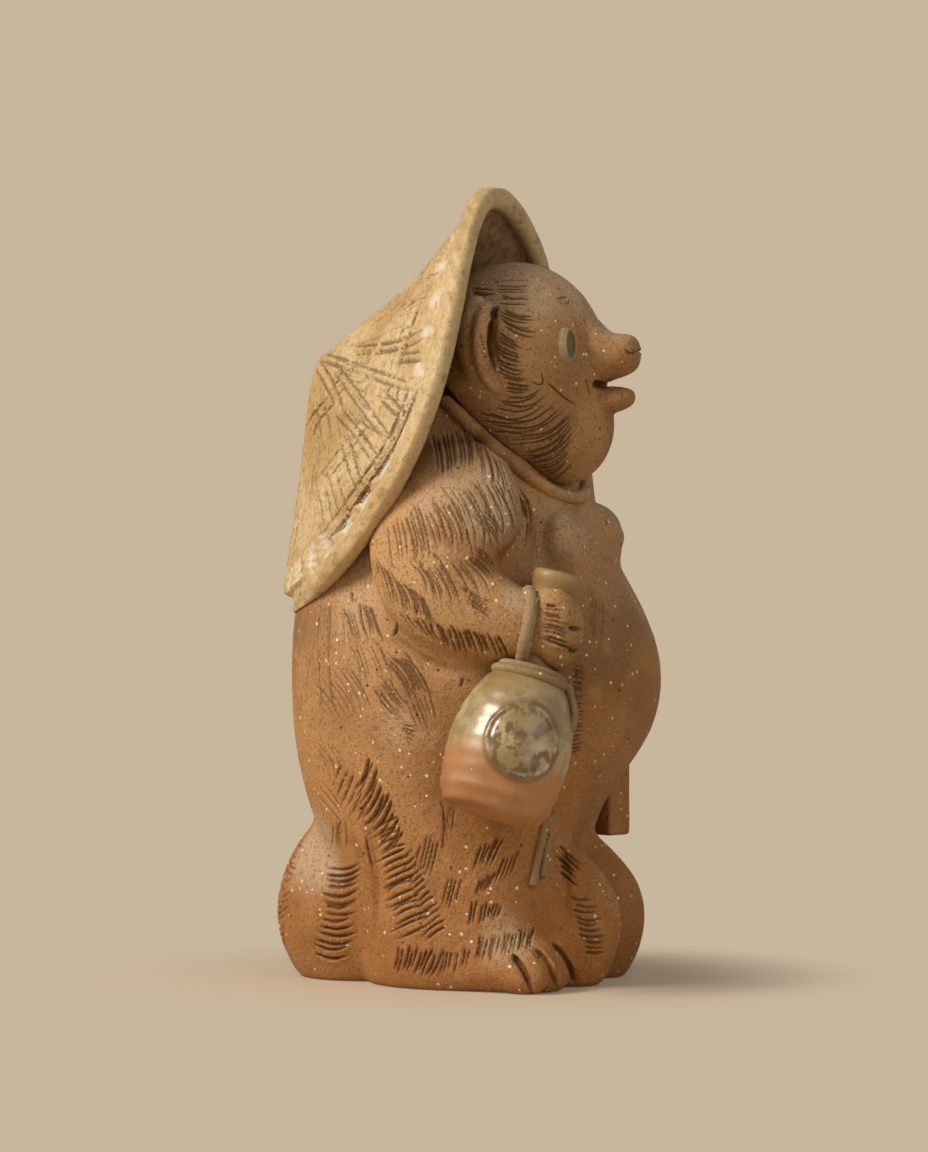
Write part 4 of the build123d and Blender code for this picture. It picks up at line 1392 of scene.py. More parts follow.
def share_normals(piece: bpy.types.Object, skin: BVHTree) -> None:
    """Give a half the whole skin's normals along the figure's middle plane, so that no seam shows.

    Args:
        piece: the half.
        skin: the whole skin.
    """
    places = coordinates(piece.data)
    normals = np.zeros(places.shape)
    for index in np.flatnonzero(np.abs(places[:, 0]) < 1e-3):
        around = skin.find_nearest_range(Vector(places[index] * MM), 1.1 * MM)
        normals[index] = np.sum([np.array(normal) for _, normal, _, _ in around], axis=0) if around else 0.0
    lengths = np.linalg.norm(normals, axis=1, keepdims=True)
    normals = np.where(lengths > 0.0, normals / np.maximum(lengths, 1e-9), 0.0)
    piece.data.normals_split_custom_set_from_vertices([tuple(normal) for normal in normals])


def carved(piece: bpy.types.Object, sheet: StrokeSheet, carving: GeometryTree, values: dict[str, Any]) -> None:
    """Cut a sheet's strokes into a piece.

    Args:
        piece: the object.
        sheet: its strokes.
        carving: the carving tree.
        values: the tree's other inputs, by name.
    """
    strokes = sheet.built(piece.name + "_strokes")
    carving.work_on(piece, {"Strokes": strokes, **values})
    bpy.data.objects.remove(strokes)


def modelled(
    piece: bpy.types.Object, studio: Studio, carving: GeometryTree, forms: Sequence[SeenLine]
) -> None:
    """Press broad hollows into a skin and raise ridges on it, before the fine strokes.

    Args:
        piece: the object.
        studio: the studio, for what is set out on the view.
        carving: the carving tree.
        forms: the hollows; a negative depth makes a ridge.
    """
    sheet = StrokeSheet(piece, 5)
    sheet.set_out(studio, (), forms, 6.0)
    carved(piece, sheet, carving, {"Burr": 0.0, "Unevenness": 0.0})
    smoothed(piece, 6)


def both_sides(part: str) -> tuple[str, str]:
    """Names of a part's right and left nodes."""
    return part + "_right", part + "_left"


@dataclass
class LutedForm:
    """Members luted into one skin, with hollows, ridges and strokes that are set out on the view.

    Rounds are those of the first softening, filling those that fill the joins, and far is how far off the skin a
    mirrored point may be, in millimetres.
    """

    voxel: float
    rounds: int
    filling: int
    seed: int
    nodes: tuple[str, ...]
    combs: tuple[SeenComb, ...]
    lines: tuple[SeenLine, ...]
    forms: tuple[SeenLine, ...]
    far: float = 4.0

    def filled_share(self, places: np.ndarray) -> np.ndarray:
        """Share of the filling at each of the given places, in millimetres."""
        raise NotImplementedError

    def fused(self, name: str, studio: Studio, carving: GeometryTree) -> tuple[bpy.types.Object, StrokeSheet]:
        """Lute and model the skin, and draw its strokes.

        Args:
            name: the object's name.
            studio: the studio, for what is set out on the view.
            carving: the carving tree.

        Returns:
            The object, not yet carved, and its strokes.
        """
        piece = joined_copy(name, self.nodes)
        remeshed(piece, self.voxel, self.rounds)
        filled(piece, self.filling, self.filled_share(coordinates(piece.data)))
        smoothed(piece, 4)
        refined(piece)
        modelled(piece, studio, carving, self.forms)
        sheet = StrokeSheet(piece, self.seed)
        sheet.set_out(studio, self.combs, self.lines, self.far)
        return piece, sheet


@dataclass
class BodyForm(LutedForm):
    """Torso, limbs, tail, pouches and feet as one skin; made in two halves."""

    voxel: float = 1.35
    rounds: int = 6
    filling: int = 48
    seed: int = 11
    nodes: tuple[str, ...] = (
        *("torso_front", "torso_back", *both_sides("arm"), *both_sides("paw"), "tail"),
        *(*both_sides("pouch"), *both_sides("foot"), *both_sides("nipple")),
    )
    back: tuple[HairPatch, ...] = (
        HairPatch("back", (0, 72, 128), (40, 30, 40), Flow.COMB, (0.0, 0.1, -1.0), length=(14, 26)),
        HairPatch("tail_back", (0, 84, 38), (26, 16, 30), Flow.RING, (0.0, 1.0, 0.0), (0, 62, 120), (12, 20), 3.0),
    )
    combs: tuple[SeenComb, ...] = (
        SeenComb(((430, 434), (474, 428)), ((436, 482), (480, 470)), 10, 0.8, 0.7, -0.04),
        SeenComb(((402, 512), (452, 494)), ((416, 572), (472, 546)), 11, 0.7, 0.65, -0.05),
        SeenComb(((440, 490), (500, 478)), ((462, 530), (512, 512)), 10, 0.6, 0.6, -0.06),
        SeenComb(((508, 488), (524, 492)), ((516, 524), (534, 520)), 5, 0.9, 0.7),
        SeenComb(((470, 515), (487, 505)), ((498, 550), (507, 540)), 6, 0.8, 0.65, -0.08),
        SeenComb(((468, 560), (480, 548)), ((494, 584), (500, 572)), 6, 0.85, 0.65, -0.06),
        SeenComb(((462, 588), (470, 606)), ((496, 604), (490, 620)), 6, 0.85, 0.65),
        SeenComb(((426, 556), (462, 556)), ((454, 618), (494, 600)), 8, 0.6, 0.6, -0.10),
        SeenComb(((374, 562), (424, 600)), ((386, 604), (438, 632)), 13, 1.1, 0.8, -0.04),
        SeenComb(((396, 612), (444, 628)), ((412, 632), (454, 648)), 8, 1.1, 0.8),
        SeenComb(((434, 624), (502, 639)), ((443, 652), (512, 660)), 13, 1.15, 0.85),
        SeenComb(((544, 602), (545, 642)), ((561, 603), (573, 652)), 10, 1.0, 0.75),
        SeenComb(((573, 662), (570, 756)), ((586, 666), (583, 752)), 22, 0.9, 0.65),
        SeenComb(((306, 606), (346, 606)), ((299, 684), (358, 674)), 7, 0.4, 0.55, 0.03),
        SeenComb(((350, 592), (352, 592)), ((351, 603), (353, 604)), 1, 1.0, 0.8),
        SeenComb(((358, 604), (373, 608)), ((367, 641), (386, 641)), 5, 1.0, 0.75),
        SeenComb(((343, 611), (353, 611)), ((353, 643), (363, 645)), 4, 0.7, 0.6),
        SeenComb(((308, 690), (348, 662)), ((340, 738), (378, 722)), 10, 0.5, 0.6, -0.05),
        SeenComb(((384, 662), (408, 654)), ((410, 704), (434, 698)), 11, 0.85, 0.65, -0.05),
        SeenComb(((372, 690), (386, 672)), ((402, 728), (414, 712)), 7, 0.75, 0.65, 0.04),
        SeenComb(((400, 722), (406, 738)), ((419, 727), (414, 744)), 5, 0.7, 0.6),
        SeenComb(((311, 742), (330, 740)), ((330, 790), (352, 782)), 5, 0.5, 0.6, -0.05),
        SeenComb(((368, 752), (404, 836)), ((351, 792), (384, 860)), 12, 1.2, 0.85, -0.06),
        SeenComb(((324, 778), (318, 800)), ((347, 812), (340, 824)), 3, 1.0, 0.8),
        SeenComb(((394, 816), (431, 926)), ((371, 828), (391, 944)), 18, 1.15, 0.8, 0.05),
        SeenComb(((397, 946), (444, 952)), ((392, 972), (431, 978)), 10, 1.0, 0.75),
        SeenComb(((480, 846), (506, 836)), ((472, 872), (491, 866)), 6, 0.9, 0.7),
        SeenComb(((479, 880), (498, 872)), ((474, 897), (489, 890)), 5, 0.9, 0.7),
        SeenComb(((489, 905), (504, 905)), ((486, 919), (498, 920)), 4, 0.8, 0.7),
        SeenComb(((478, 938), (536, 929)), ((471, 966), (532, 949)), 14, 0.95, 0.7),
        SeenComb(((329, 864), (316, 956)), ((364, 857), (352, 958)), 14, 1.15, 0.9, 0.12),
        SeenComb(((332, 822), (346, 822)), ((330, 852), (348, 848)), 4, 0.8, 0.7),
        SeenComb(((560, 844), (559, 872)), ((580, 862), (577, 887)), 5, 1.3, 0.9),
        SeenComb(((570, 895), (587, 956)), ((598, 897), (610, 955)), 10, 1.0, 0.8, 0.10),
        SeenComb(((446, 812), (455, 812)), ((443, 858), (452, 840)), 3, 0.5, 0.6),
        SeenComb(((300, 640), (332, 640)), ((300, 742), (346, 735)), 7, 0.45, 0.55, 0.03),
        SeenComb(((318, 600), (346, 598)), ((311, 662), (350, 660)), 6, 0.45, 0.55),
        SeenComb(((420, 838), (441, 838)), ((410, 880), (432, 876)), 5, 0.8, 0.6),
        SeenComb(((470, 900), (490, 905)), ((466, 926), (486, 926)), 4, 0.8, 0.6),
        SeenComb(((502, 860), (521, 850)), ((492, 886), (511, 878)), 4, 0.8, 0.6),
        SeenComb(((446, 880), (464, 876)), ((438, 912), (456, 908)), 4, 0.7, 0.6),
        SeenComb(((440, 950), (472, 950)), ((436, 976), (466, 973)), 6, 0.9, 0.65),
        SeenComb(((412, 846), (448, 930)), ((398, 862), (424, 948)), 14, 0.85, 0.65, 0.05),
        SeenComb(((340, 760), (372, 800)), ((328, 792), (356, 832)), 6, 0.8, 0.65),
        SeenComb(((430, 500), (520, 480)), ((452, 562), (532, 552)), 16, 0.65, 0.6, -0.10),
        SeenComb(((385, 520), (422, 510)), ((392, 576), (432, 562)), 8, 0.7, 0.6, -0.05),
        SeenComb(((474, 440), (508, 464)), ((482, 488), (520, 496)), 9, 0.7, 0.6, -0.05),
        SeenComb(((408, 560), (440, 566)), ((428, 606), (462, 612)), 8, 0.7, 0.6, -0.08),
        SeenComb(((400, 690), (430, 690)), ((424, 742), (440, 730)), 6, 0.6, 0.6),
        SeenComb(((346, 640), (380, 640)), ((360, 690), (398, 690)), 7, 0.5, 0.55, -0.05),
        SeenComb(((590, 590), (605, 600)), ((588, 640), (600, 650)), 5, 0.4, 0.5, 0.0, False),
    )
    lines: tuple[SeenLine, ...] = (
        SeenLine(((513, 955), (527, 974), (532, 995)), 2.0, 1.5),
        SeenLine(((537, 950), (549, 964), (556, 986)), 2.0, 1.5),
        SeenLine(((553, 944), (568, 960), (573, 982)), 1.8, 1.4),
        SeenLine(((569, 628), (579, 629), (590, 631)), 1.6, 1.2, False),
        SeenLine(((569, 650), (579, 651), (590, 652)), 1.6, 1.2, False),
        SeenLine(((366, 838), (369, 852), (374, 872)), 1.0, 0.9),
        SeenLine(((441, 800), (445, 815), (441, 860)), 0.7, 0.7),
        SeenLine(((394, 636), (397, 630), (397, 622)), 1.4, 1.0),
        SeenLine(((463, 678), (461, 688)), 1.0, 0.9),
        SeenLine(((603, 556), (612, 570)), 1.2, 0.9),
    )
    forms: tuple[SeenLine, ...] = (
        SeenLine(((511, 954), (526, 974), (532, 998)), 2.6, 3.4),
        SeenLine(((535, 949), (549, 965), (556, 990)), 2.6, 3.2),
        SeenLine(((552, 943), (568, 961), (574, 986)), 2.4, 3.0),
        SeenLine(((564, 628), (579, 629), (592, 631)), 2.2, 3.2, False),
        SeenLine(((564, 650), (579, 651), (592, 652)), 2.2, 3.2, False),
        SeenLine(((362, 808), (372, 840), (377, 890), (374, 965)), 2.4, 4.5),
        SeenLine(((556, 838), (563, 870), (566, 920), (572, 960)), 2.0, 4.0),
        SeenLine(((394, 640), (430, 668), (470, 672)), 2.2, 4.0),
        SeenLine(((520, 500), (528, 530), (524, 560)), 2.4, 6.0),
    )
    # Centre on the right side, radius, and strength there and on the left
    ash_spots: tuple[tuple[Point, float, float, float], ...] = (
        ((-30, 62, 58), 30, 1.0, 0.7),
        ((-70, -24, 222), 40, 0.7, 0.7),
        ((-40, -62, 205), 34, 0.55, 0.55),
        ((-62, 40, 175), 40, 0.5, 0.5),
        ((-66, -36, 24), 22, 0.6, 0.6),
        ((-84, -44, 178), 12, 1.0, 0.0),
        ((-76, -2, 212), 16, 0.8, 0.0),
        ((-68, 14, 118), 22, 0.45, 0.0),
        ((-60, 34, 150), 30, 0.25, 0.0),
        ((-34, -58, 66), 12, 0.5, 0.0),
    )

    def filled_share(self, places: np.ndarray) -> np.ndarray:
        """Full filling, but little between the toes."""
        toes = smooth_step(places[:, 2], 24.0, 34.0) + smooth_step(places[:, 1], -42.0, -32.0)
        return np.clip(toes, 0.15, 1.0)

    def build(self, studio: Studio, carving: GeometryTree, clay: bpy.types.Material) -> StrokeSheet:
        """Fuse, carve and dress the body.

        Args:
            studio: the studio, for what is set out on the view.
            carving: the carving tree.
            clay: the clay material.

        Returns:
            The sheet of strokes, which still holds the smooth skin.
        """
        whole, sheet = self.fused("body", studio, carving)
        for patch in self.back:
            sheet.comb(patch)
        carved(whole, sheet, carving, {"Material": clay, "Unevenness": 0.8})
        places = coordinates(whole.data)
        set_attribute(whole.data, "ash", self.ash(places))
        move_to(whole.data, places)
        skin = skin_of(whole)
        for name, side, nodes in (("body_right", -1.0, self.nodes), ("body_left", 1.0, ())):
            piece = half_of(whole, name, side)
            thinned(piece, TRIANGLE_LIMIT, True)
            dress(piece, clay, nodes)
            share_normals(piece, skin)
        bpy.data.objects.remove(whole)
        return sheet

    def ash(self, places: np.ndarray) -> np.ndarray:
        """How much pale ash lies at each vertex.

        Args:
            places: vertex places in millimetres.

        Returns:
            0 for bare clay to 1 for full ash.
        """
        amount = np.zeros(len(places))
        for centre, radius, right, left in self.ash_spots:
            for side, strength in ((1.0, right), (-1.0, left)):
                apart = np.linalg.norm(places - np.array(centre) * np.array([side, 1.0, 1.0]), axis=1)
                amount = np.maximum(amount, strength * (1.0 - smooth_step(apart, radius * 0.25, radius)))
        return amount


@dataclass
class HeadForm(LutedForm):
    """Head with snout, jaw and ears as one skin."""

    voxel: float = 0.9
    rounds: int = 5
    filling: int = 30
    seed: int = 23
    nodes: tuple[str, ...] = ("head", "jaw", *both_sides("ear"))
    combs: tuple[SeenComb, ...] = (
        SeenComb(((490, 280), (502, 304)), ((529, 279), (535, 305)), 7, 0.9, 0.65, 0.02),
        SeenComb(((472, 286), (472, 297)), ((500, 288), (491, 298)), 3, 0.9, 0.7),
        SeenComb(((503, 307), (499, 325)), ((536, 313), (540, 340)), 6, 1.0, 0.7, 0.09),
        SeenComb(((496, 329), (498, 361)), ((522, 345), (526, 368)), 9, 1.0, 0.65, 0.03),
        SeenComb(((498, 362), (507, 394)), ((526, 371), (533, 394)), 7, 1.0, 0.65, 0.05),
        SeenComb(((508, 396), (482, 414)), ((541, 386), (558, 401)), 5, 0.95, 0.65, 0.13),
        SeenComb(((482, 414), (517, 457)), ((558, 401), (582, 417)), 11, 0.95, 0.65, 0.15),
        SeenComb(((517, 457), (536, 482)), ((582, 417), (574, 464)), 9, 0.8, 0.6, 0.12),
        SeenComb(((478, 332), (486, 366)), ((483, 333), (491, 365)), 9, 0.8, 0.55),
    )
    lines: tuple[SeenLine, ...] = (
        SeenLine(((541, 372), (544, 382), (540, 386), (526, 380)), 0.8, 0.6),
        SeenLine(((548, 383), (565, 399), (582, 408)), 0.9, 0.7),
        SeenLine(((586, 379), (588, 388), (591, 398)), 1.0, 0.8),
        SeenLine(((625, 349), (630, 354), (637, 352), (639, 345)), 1.1, 0.8),
        SeenLine(((557, 299), (568, 296), (570, 303), (560, 304)), 0.7, 0.6),
        SeenLine(((538, 284), (543, 288), (548, 286)), 0.6, 0.6),
        SeenLine(((583, 319), (588, 325)), 0.7, 0.6),
        SeenLine(((495, 309), (492, 320)), 2.6, 2.6),
        SeenLine(((492, 318), (488, 332), (489, 350), (496, 372)), 1.6, 1.5),
        SeenLine(((593, 383), (606, 386), (620, 383), (631, 379)), 2.2, 1.9),
    )
    forms: tuple[SeenLine, ...] = (
        SeenLine(
            ((505, 303), (493, 300), (482, 311), (477, 330), (477, 352), (482, 372), (492, 388), (505, 391)),
            -4.2,
            3.6,
        ),
        SeenLine(((495, 310), (490, 328), (491, 348), (498, 372)), 4.6, 3.4),
        SeenLine(((578, 318), (586, 334), (586, 352), (580, 366)), 2.2, 6.0),
        SeenLine(((600, 325), (615, 331)), 1.2, 6.0),
        SeenLine(((594, 384), (606, 386), (620, 383), (630, 380)), 2.6, 2.6),
    )

    def filled_share(self, places: np.ndarray) -> np.ndarray:
        """Full filling, but little in the mouth."""
        return np.clip(smooth_step(places[:, 1], -56.0, -48.0), 0.1, 1.0)

    def build(self, studio: Studio, carving: GeometryTree, clay: bpy.types.Material) -> StrokeSheet:
        """Fuse, carve and dress the head.

        Args:
            studio: the studio, for what is set out on the view.
            carving: the carving tree.
            clay: the clay material.

        Returns:
            The sheet of strokes, which still holds the smooth skin.
        """
        piece, sheet = self.fused("head_skin", studio, carving)
        carved(piece, sheet, carving, {"Material": clay, "Unevenness": 0.3})
        thinned(piece, TRIANGLE_LIMIT)
        places = coordinates(piece.data)
        crown = smooth_step(places[:, 2], 285.0, 308.0) * 0.65
        snout = smooth_step(-places[:, 1], 52.0, 64.0) * smooth_step(places[:, 2], 282.0, 292.0) * 0.6
        set_attribute(piece.data, "ash", np.maximum(crown, snout) + 0.16)
        move_to(piece.data, places)
        dress(piece, clay, self.nodes)
        return sheet


@dataclass
class HatForm:
    """Sedge hat with its rolled rim."""

    lean: float = 24.5
    turn: float = 2.4
    back: float = 33.3
    height: float = 256.0
    half_length: float = 100.5
    half_width: float = 82.0
    voxel: float = 0.72
    rounds: int = 8
    least_wall: float = 1.8
    dimple_depth: float = 1.4
    lump_depth: float = 0.35
    rim_lump_depth: float = 0.4
    straws: int = 230
    dimples: int = 36
    nodes: tuple[str, ...] = ("hat", "hat_rim")
    # Offset in pixels, depth and half width of the lines that make a band
    band_lines: tuple[Point, ...] = ((-4.3, 1.5, 0.8), (4.3, 1.5, 0.8), (0.0, -0.8, 1.3))
    bands: tuple[tuple[Pixel, ...], ...] = (
        ((416, 300), (403, 340), (390, 378)),
        ((385, 337), (366, 363)),
        ((363, 421), (346, 449), (317, 484)),
        ((394, 386), (389, 403)),
        ((411, 389), (394, 438), (374, 466), (334, 526), (311, 546)),
        ((320, 356), (366, 372), (411, 388)),
        ((316, 364), (334, 392), (338, 414)),
        ((336, 370), (362, 406), (388, 442)),
        ((337, 412), (354, 430), (377, 464)),
        ((383, 398), (402, 416)),
        ((344, 443), (351, 466), (358, 490)),
        ((331, 474), (343, 515)),
        ((321, 488), (328, 526)),
        ((354, 350), (396, 348), (428, 331)),
        ((397, 358), (422, 356)),
        ((330, 400), (312, 420), (304, 446)),
        ((352, 360), (340, 384), (332, 400)),
    )

    def axes(self) -> tuple[np.ndarray, np.ndarray, np.ndarray, np.ndarray]:
        """The hat's own frame.

        Returns:
            Origin, and the directions across, down the back and out of the crown.
        """
        lean, turn = math.radians(self.lean), math.radians(self.turn)
        level = math.cos(lean)
        out = np.array([math.sin(turn) * level, math.cos(turn) * level, math.sin(lean)])
        across = np.array([math.cos(turn), -math.sin(turn), 0.0])
        down = np.cross(out, across)
        return np.array([0.0, self.back, self.height]), across, down, out

    def local(self, places: np.ndarray) -> np.ndarray:
        """Places in the hat's own frame."""
        origin, across, down, out = self.axes()
        apart = places - origin
        return np.stack([apart @ across, apart @ down, apart @ out], axis=-1)

    def dropped(self, sheet: StrokeSheet, x: float, y: float) -> np.ndarray | None:
        """Point of the hat's outer skin above a place in the hat's own plane.

        Args:
            sheet: the hat's strokes.
            x: place across, in millimetres.
            y: place down the back, in millimetres.

        Returns:
            The point, or None beside the hat.
        """
        origin, across, down, out = self.axes()
        above = origin + across * x + down * y + out * 120.0
        hit, _, _, _ = sheet.tree.ray_cast(Vector(above * MM), Vector(-out), 0.3)
        return None if hit is None else np.array(hit) / MM

    def weave(self, sheet: StrokeSheet, studio: Studio) -> None:
        """Draw the woven bands, each a ridge between two lines, and the straws between them.

        Args:
            sheet: the hat's strokes.
            studio: the studio, for what is set out on the view.
        """
        for band in self.bands:
            path = rounded(band, 3.0)
            way = np.gradient(path, axis=0)
            side = np.stack([-way[:, 1], way[:, 0]], axis=-1) / np.linalg.norm(way, axis=1, keepdims=True)
            for offset, depth, breadth in self.band_lines:
                line = sheet.seen(studio, [tuple(p) for p in path + side * offset])
                flat = self.local(np.array(line)) if len(line) > 2 else np.zeros((0, 3))
                twin = [self.dropped(sheet, -x, y) for x, y, _ in flat]
                for run in (line, [p for p in twin if p is not None]):
                    if len(run) > 3:
                        sheet.add(run, depth * sheet.random.uniform(0.8, 1.2), breadth)
        for straw in range(self.straws):
            angle = 2 * math.pi * (straw + sheet.random.uniform(-0.5, 0.5)) / self.straws
            first = sheet.random.uniform(0.22, 0.75)
            last = min(first + sheet.random.uniform(0.10, 0.32), 0.93)
            bend = sheet.random.normal(0.0, 0.05)
            line = []
            for share in np.linspace(first, last, 22):
                swung = angle + bend * (share - first) / max(last - first, 0.05)
                x, y = self.half_width * share * math.sin(swung), self.half_length * share * math.cos(swung)
                point = self.dropped(sheet, x, y)
                if point is not None:
                    line.append(point)
            if len(line) > 4:
                sheet.add(line, sheet.random.uniform(0.35, 0.85), sheet.random.uniform(0.55, 0.8))

    def held(
        self, piece: bpy.types.Object, places: np.ndarray, normals: np.ndarray, depth: np.ndarray
    ) -> np.ndarray:
        """Keep presses from breaking through the hat's wall.

        Args:
            piece: the hat.
            places: its points, in millimetres.
            normals: its normals.
            depth: how far each point is to be pressed in, in millimetres.

        Returns:
            The depths that leave the least wall.
        """
        skin = skin_of(piece)
        limited = depth.copy()
        for index in np.flatnonzero(depth > 0.05):
            start = Vector((places[index] - normals[index] * 0.05) * MM)
            hit, _, _, far = skin.ray_cast(start, Vector(-normals[index]), 0.02)
            if hit is not None:
                limited[index] = min(depth[index], max(far / MM - self.least_wall, 0.0))
        return limited

    def build(self, studio: Studio, carving: GeometryTree, glaze: bpy.types.Material) -> None:
        """Fuse, carve and dress the hat.

        Args:
            studio: the studio, for what is set out on the view.
            carving: the carving tree.
            glaze: the hat's glaze.
        """
        piece = joined_copy("hat_woven", self.nodes)
        remeshed(piece, self.voxel, self.rounds)
        sheet = StrokeSheet(piece, 37)
        self.weave(sheet, studio)
        carved(piece, sheet, carving, {"Material": glaze, "Unevenness": 0.7})
        places = coordinates(piece.data)
        local = self.local(places)
        angle = np.arctan2(local[:, 0] / self.half_width, local[:, 1] / self.half_length)
        share = np.hypot(local[:, 0] / self.half_width, local[:, 1] / self.half_length)
        normals = vertex_normals(piece.data)
        facing = self.local(normals + self.axes()[0])[:, 2]
        rim = smooth_step(share, 0.86, 0.91)
        phase = angle * self.dimples / 2 + 0.35 * np.sin(angle * 7.0)
        wave = np.cos(phase) ** 2
        band = smooth_step(share, 0.855, 0.905) * (1.0 - smooth_step(share, 0.985, 1.015))
        dimple = band * smooth_step(wave, 0.10, 0.85) * smooth_step(facing, 0.25, 0.5)
        lumps = np.sin(angle * 29 + 3 * np.sin(share * 40)) * np.sin(share * 75 + 2 * np.sin(angle * 17))
        sunk = (self.lump_depth + self.rim_lump_depth * rim) * (1.0 + lumps) * smooth_step(facing, -0.3, 0.2)
        depth = self.held(piece, places, normals, dimple * self.dimple_depth + sunk)
        places = places - normals * depth[:, None]
        set_attribute(piece.data, "rim", rim)
        set_attribute(piece.data, "dimple", dimple)
        inner = (1.0 - smooth_step(share, 0.93, 0.98)) * smooth_step(-facing, 0.0, 0.3)
        set_attribute(piece.data, "inner", inner)
        move_to(piece.data, places)
        thinned(piece, TRIANGLE_LIMIT)
        dress(piece, glaze, self.nodes)


@dataclass
class FlaskForm:
    """Sake flask, turned about its leaning axis, with a plain round medallion on its outer side."""

    foot: Point = (-92.0, -34.5, 81.0)
    lean_in: float = 17.0
    lean_forward: float = 13.5
    wall: float = 4.0
    body_height: float = 62.0
    disc_level: float = 32.2
    disc_radius: float = 18.0
    disc_rise: float = 1.6
    disc_turn: float = 25.0
    disc_bend: float = 26.6
    segments: int = 220
    nodes: tuple[str, ...] = ("flask", "flask_medallion")
    # Radius and level of the outer profile, from the foot to the mouth
    side: tuple[tuple[float, float], ...] = (
        (19.6, 0.0),
        (21.9, 0.8),
        (23.6, 4.5),
        (25.4, 7.6),
        (25.1, 10.2),
        (26.4, 16.0),
        (27.2, 26.0),
        (26.7, 36.0),
        (24.4, 46.5),
        (20.2, 56.5),
        (15.8, 62.4),
        (9.8, 67.5),
        (8.5, 72.0),
        (8.5, 94.5),
        (9.8, 98.5),
        (12.3, 105.0),
        (12.5, 109.0),
        (11.6, 109.9),
    )

    def axes(self) -> tuple[np.ndarray, np.ndarray, np.ndarray]:
        """The flask's own directions.

        Returns:
            Its x, y and z, z along the axis.
        """
        z = np.array([math.sin(math.radians(self.lean_in)), -math.sin(math.radians(self.lean_forward)), 1.0])
        z = z / np.linalg.norm(z)
        x = np.array([1.0, 0.0, 0.0]) - z * z[0]
        x = x / np.linalg.norm(x)
        return x, np.cross(z, x), z

    def at(self, local: np.ndarray) -> np.ndarray:
        """Places in the figure's frame of places in the flask's own.

        Args:
            local: one row for each place, in millimetres.

        Returns:
            The places, one row each.
        """
        x, y, z = self.axes()
        return np.array(self.foot) + local[:, :1] * x + local[:, 1:2] * y + local[:, 2:3] * z

    def build(self, glaze: bpy.types.Material) -> None:
        """Turn, press on the medallion and dress the flask.

        Args:
            glaze: the flask's glaze.
        """
        outer = rounded(self.side, 0.75)
        inner = outer[::-1] - np.array([self.wall, 0.0])
        inner = inner[(inner[:, 1] > self.wall) & (inner[:, 0] > 0.5)]
        profile = np.concatenate([outer, inner])
        ring = np.linspace(0.0, 2 * math.pi, self.segments, endpoint=False)
        radius = profile[:, 0][:, None] * np.ones(self.segments)
        level = profile[:, 1][:, None] * np.ones(self.segments)
        outside = (np.arange(len(profile)) < len(outer))[:, None] * np.ones(self.segments)
        facing = math.pi + math.radians(self.disc_turn)
        turned = np.angle(np.exp(1j * (ring - facing)))[None, :] * np.ones(radius.shape)
        apart = np.hypot(turned * self.disc_bend, level - self.disc_level)
        disc = (1.0 - smooth_step(apart, self.disc_radius - 1.6, self.disc_radius)) * outside
        edge = smooth_step(apart, self.disc_radius - 2.6, self.disc_radius - 1.2)
        edge = edge * (1.0 - smooth_step(apart, self.disc_radius + 0.2, self.disc_radius + 1.8)) * outside
        groove = np.exp(-(((apart - self.disc_radius + 3.6) / 0.7) ** 2)) * outside
        wobble = 0.25 * np.sin(3 * ring + level * 0.07) + 0.18 * np.sin(level * 0.9)
        radius = radius + disc * self.disc_rise - groove * 0.5 + wobble * outside * 0.5
        local = np.stack([radius * np.cos(ring), radius * np.sin(ring), level], axis=-1).reshape(-1, 3)
        poles = np.array([[0.0, 0.0, 0.6], [0.0, 0.0, self.wall]])
        places = self.at(np.concatenate([local, poles]))
        piece = piece_of("flask_jar", places, [], lathe_faces(len(profile), self.segments, False))
        for label, values in (("along", level / self.body_height), ("disc", disc), ("ring", edge)):
            set_attribute(piece.data, label, np.concatenate([values.ravel(), np.zeros(2)]))
        move_to(piece.data, places)
        dress(piece, glaze, self.nodes)


def cord_tree() -> GeometryTree:
    """Tree that turns lines into round rolls of clay.

    Returns:
        The tree; each point of the lines has a girth, the roll's radius in millimetres.
    """
    made = GeometryTree(
        "cord",
        [("Sides", "NodeSocketInt", 14), ("Pinch", "NodeSocketFloat", 0.12), ("Material", "NodeSocketMaterial", None)],
    )
    graph = made.graph
    curve = graph.node("GeometryNodeMeshToCurve", {}, {"Mesh": made.start})
    girth = graph.node("GeometryNodeInputNamedAttribute", {"data_type": "FLOAT"}, {"Name": "girth"})
    place = graph.node("GeometryNodeInputPosition")
    pinched = girth * MM * (1.0 + (graph.noise(place, 6.0, 2.0) - 0.5) * made.given("Pinch") * 2.0)
    circle = graph.node(
        "GeometryNodeCurvePrimitiveCircle", {"mode": "RADIUS"}, {"Resolution": made.given("Sides"), "Radius": 1.0}
    )
    roll = graph.node(
        "GeometryNodeCurveToMesh",
        {},
        {"Curve": curve, "Profile Curve": circle, "Scale": pinched, "Fill Caps": True},
    )
    made.ends(roll, made.given("Material"))
    return made


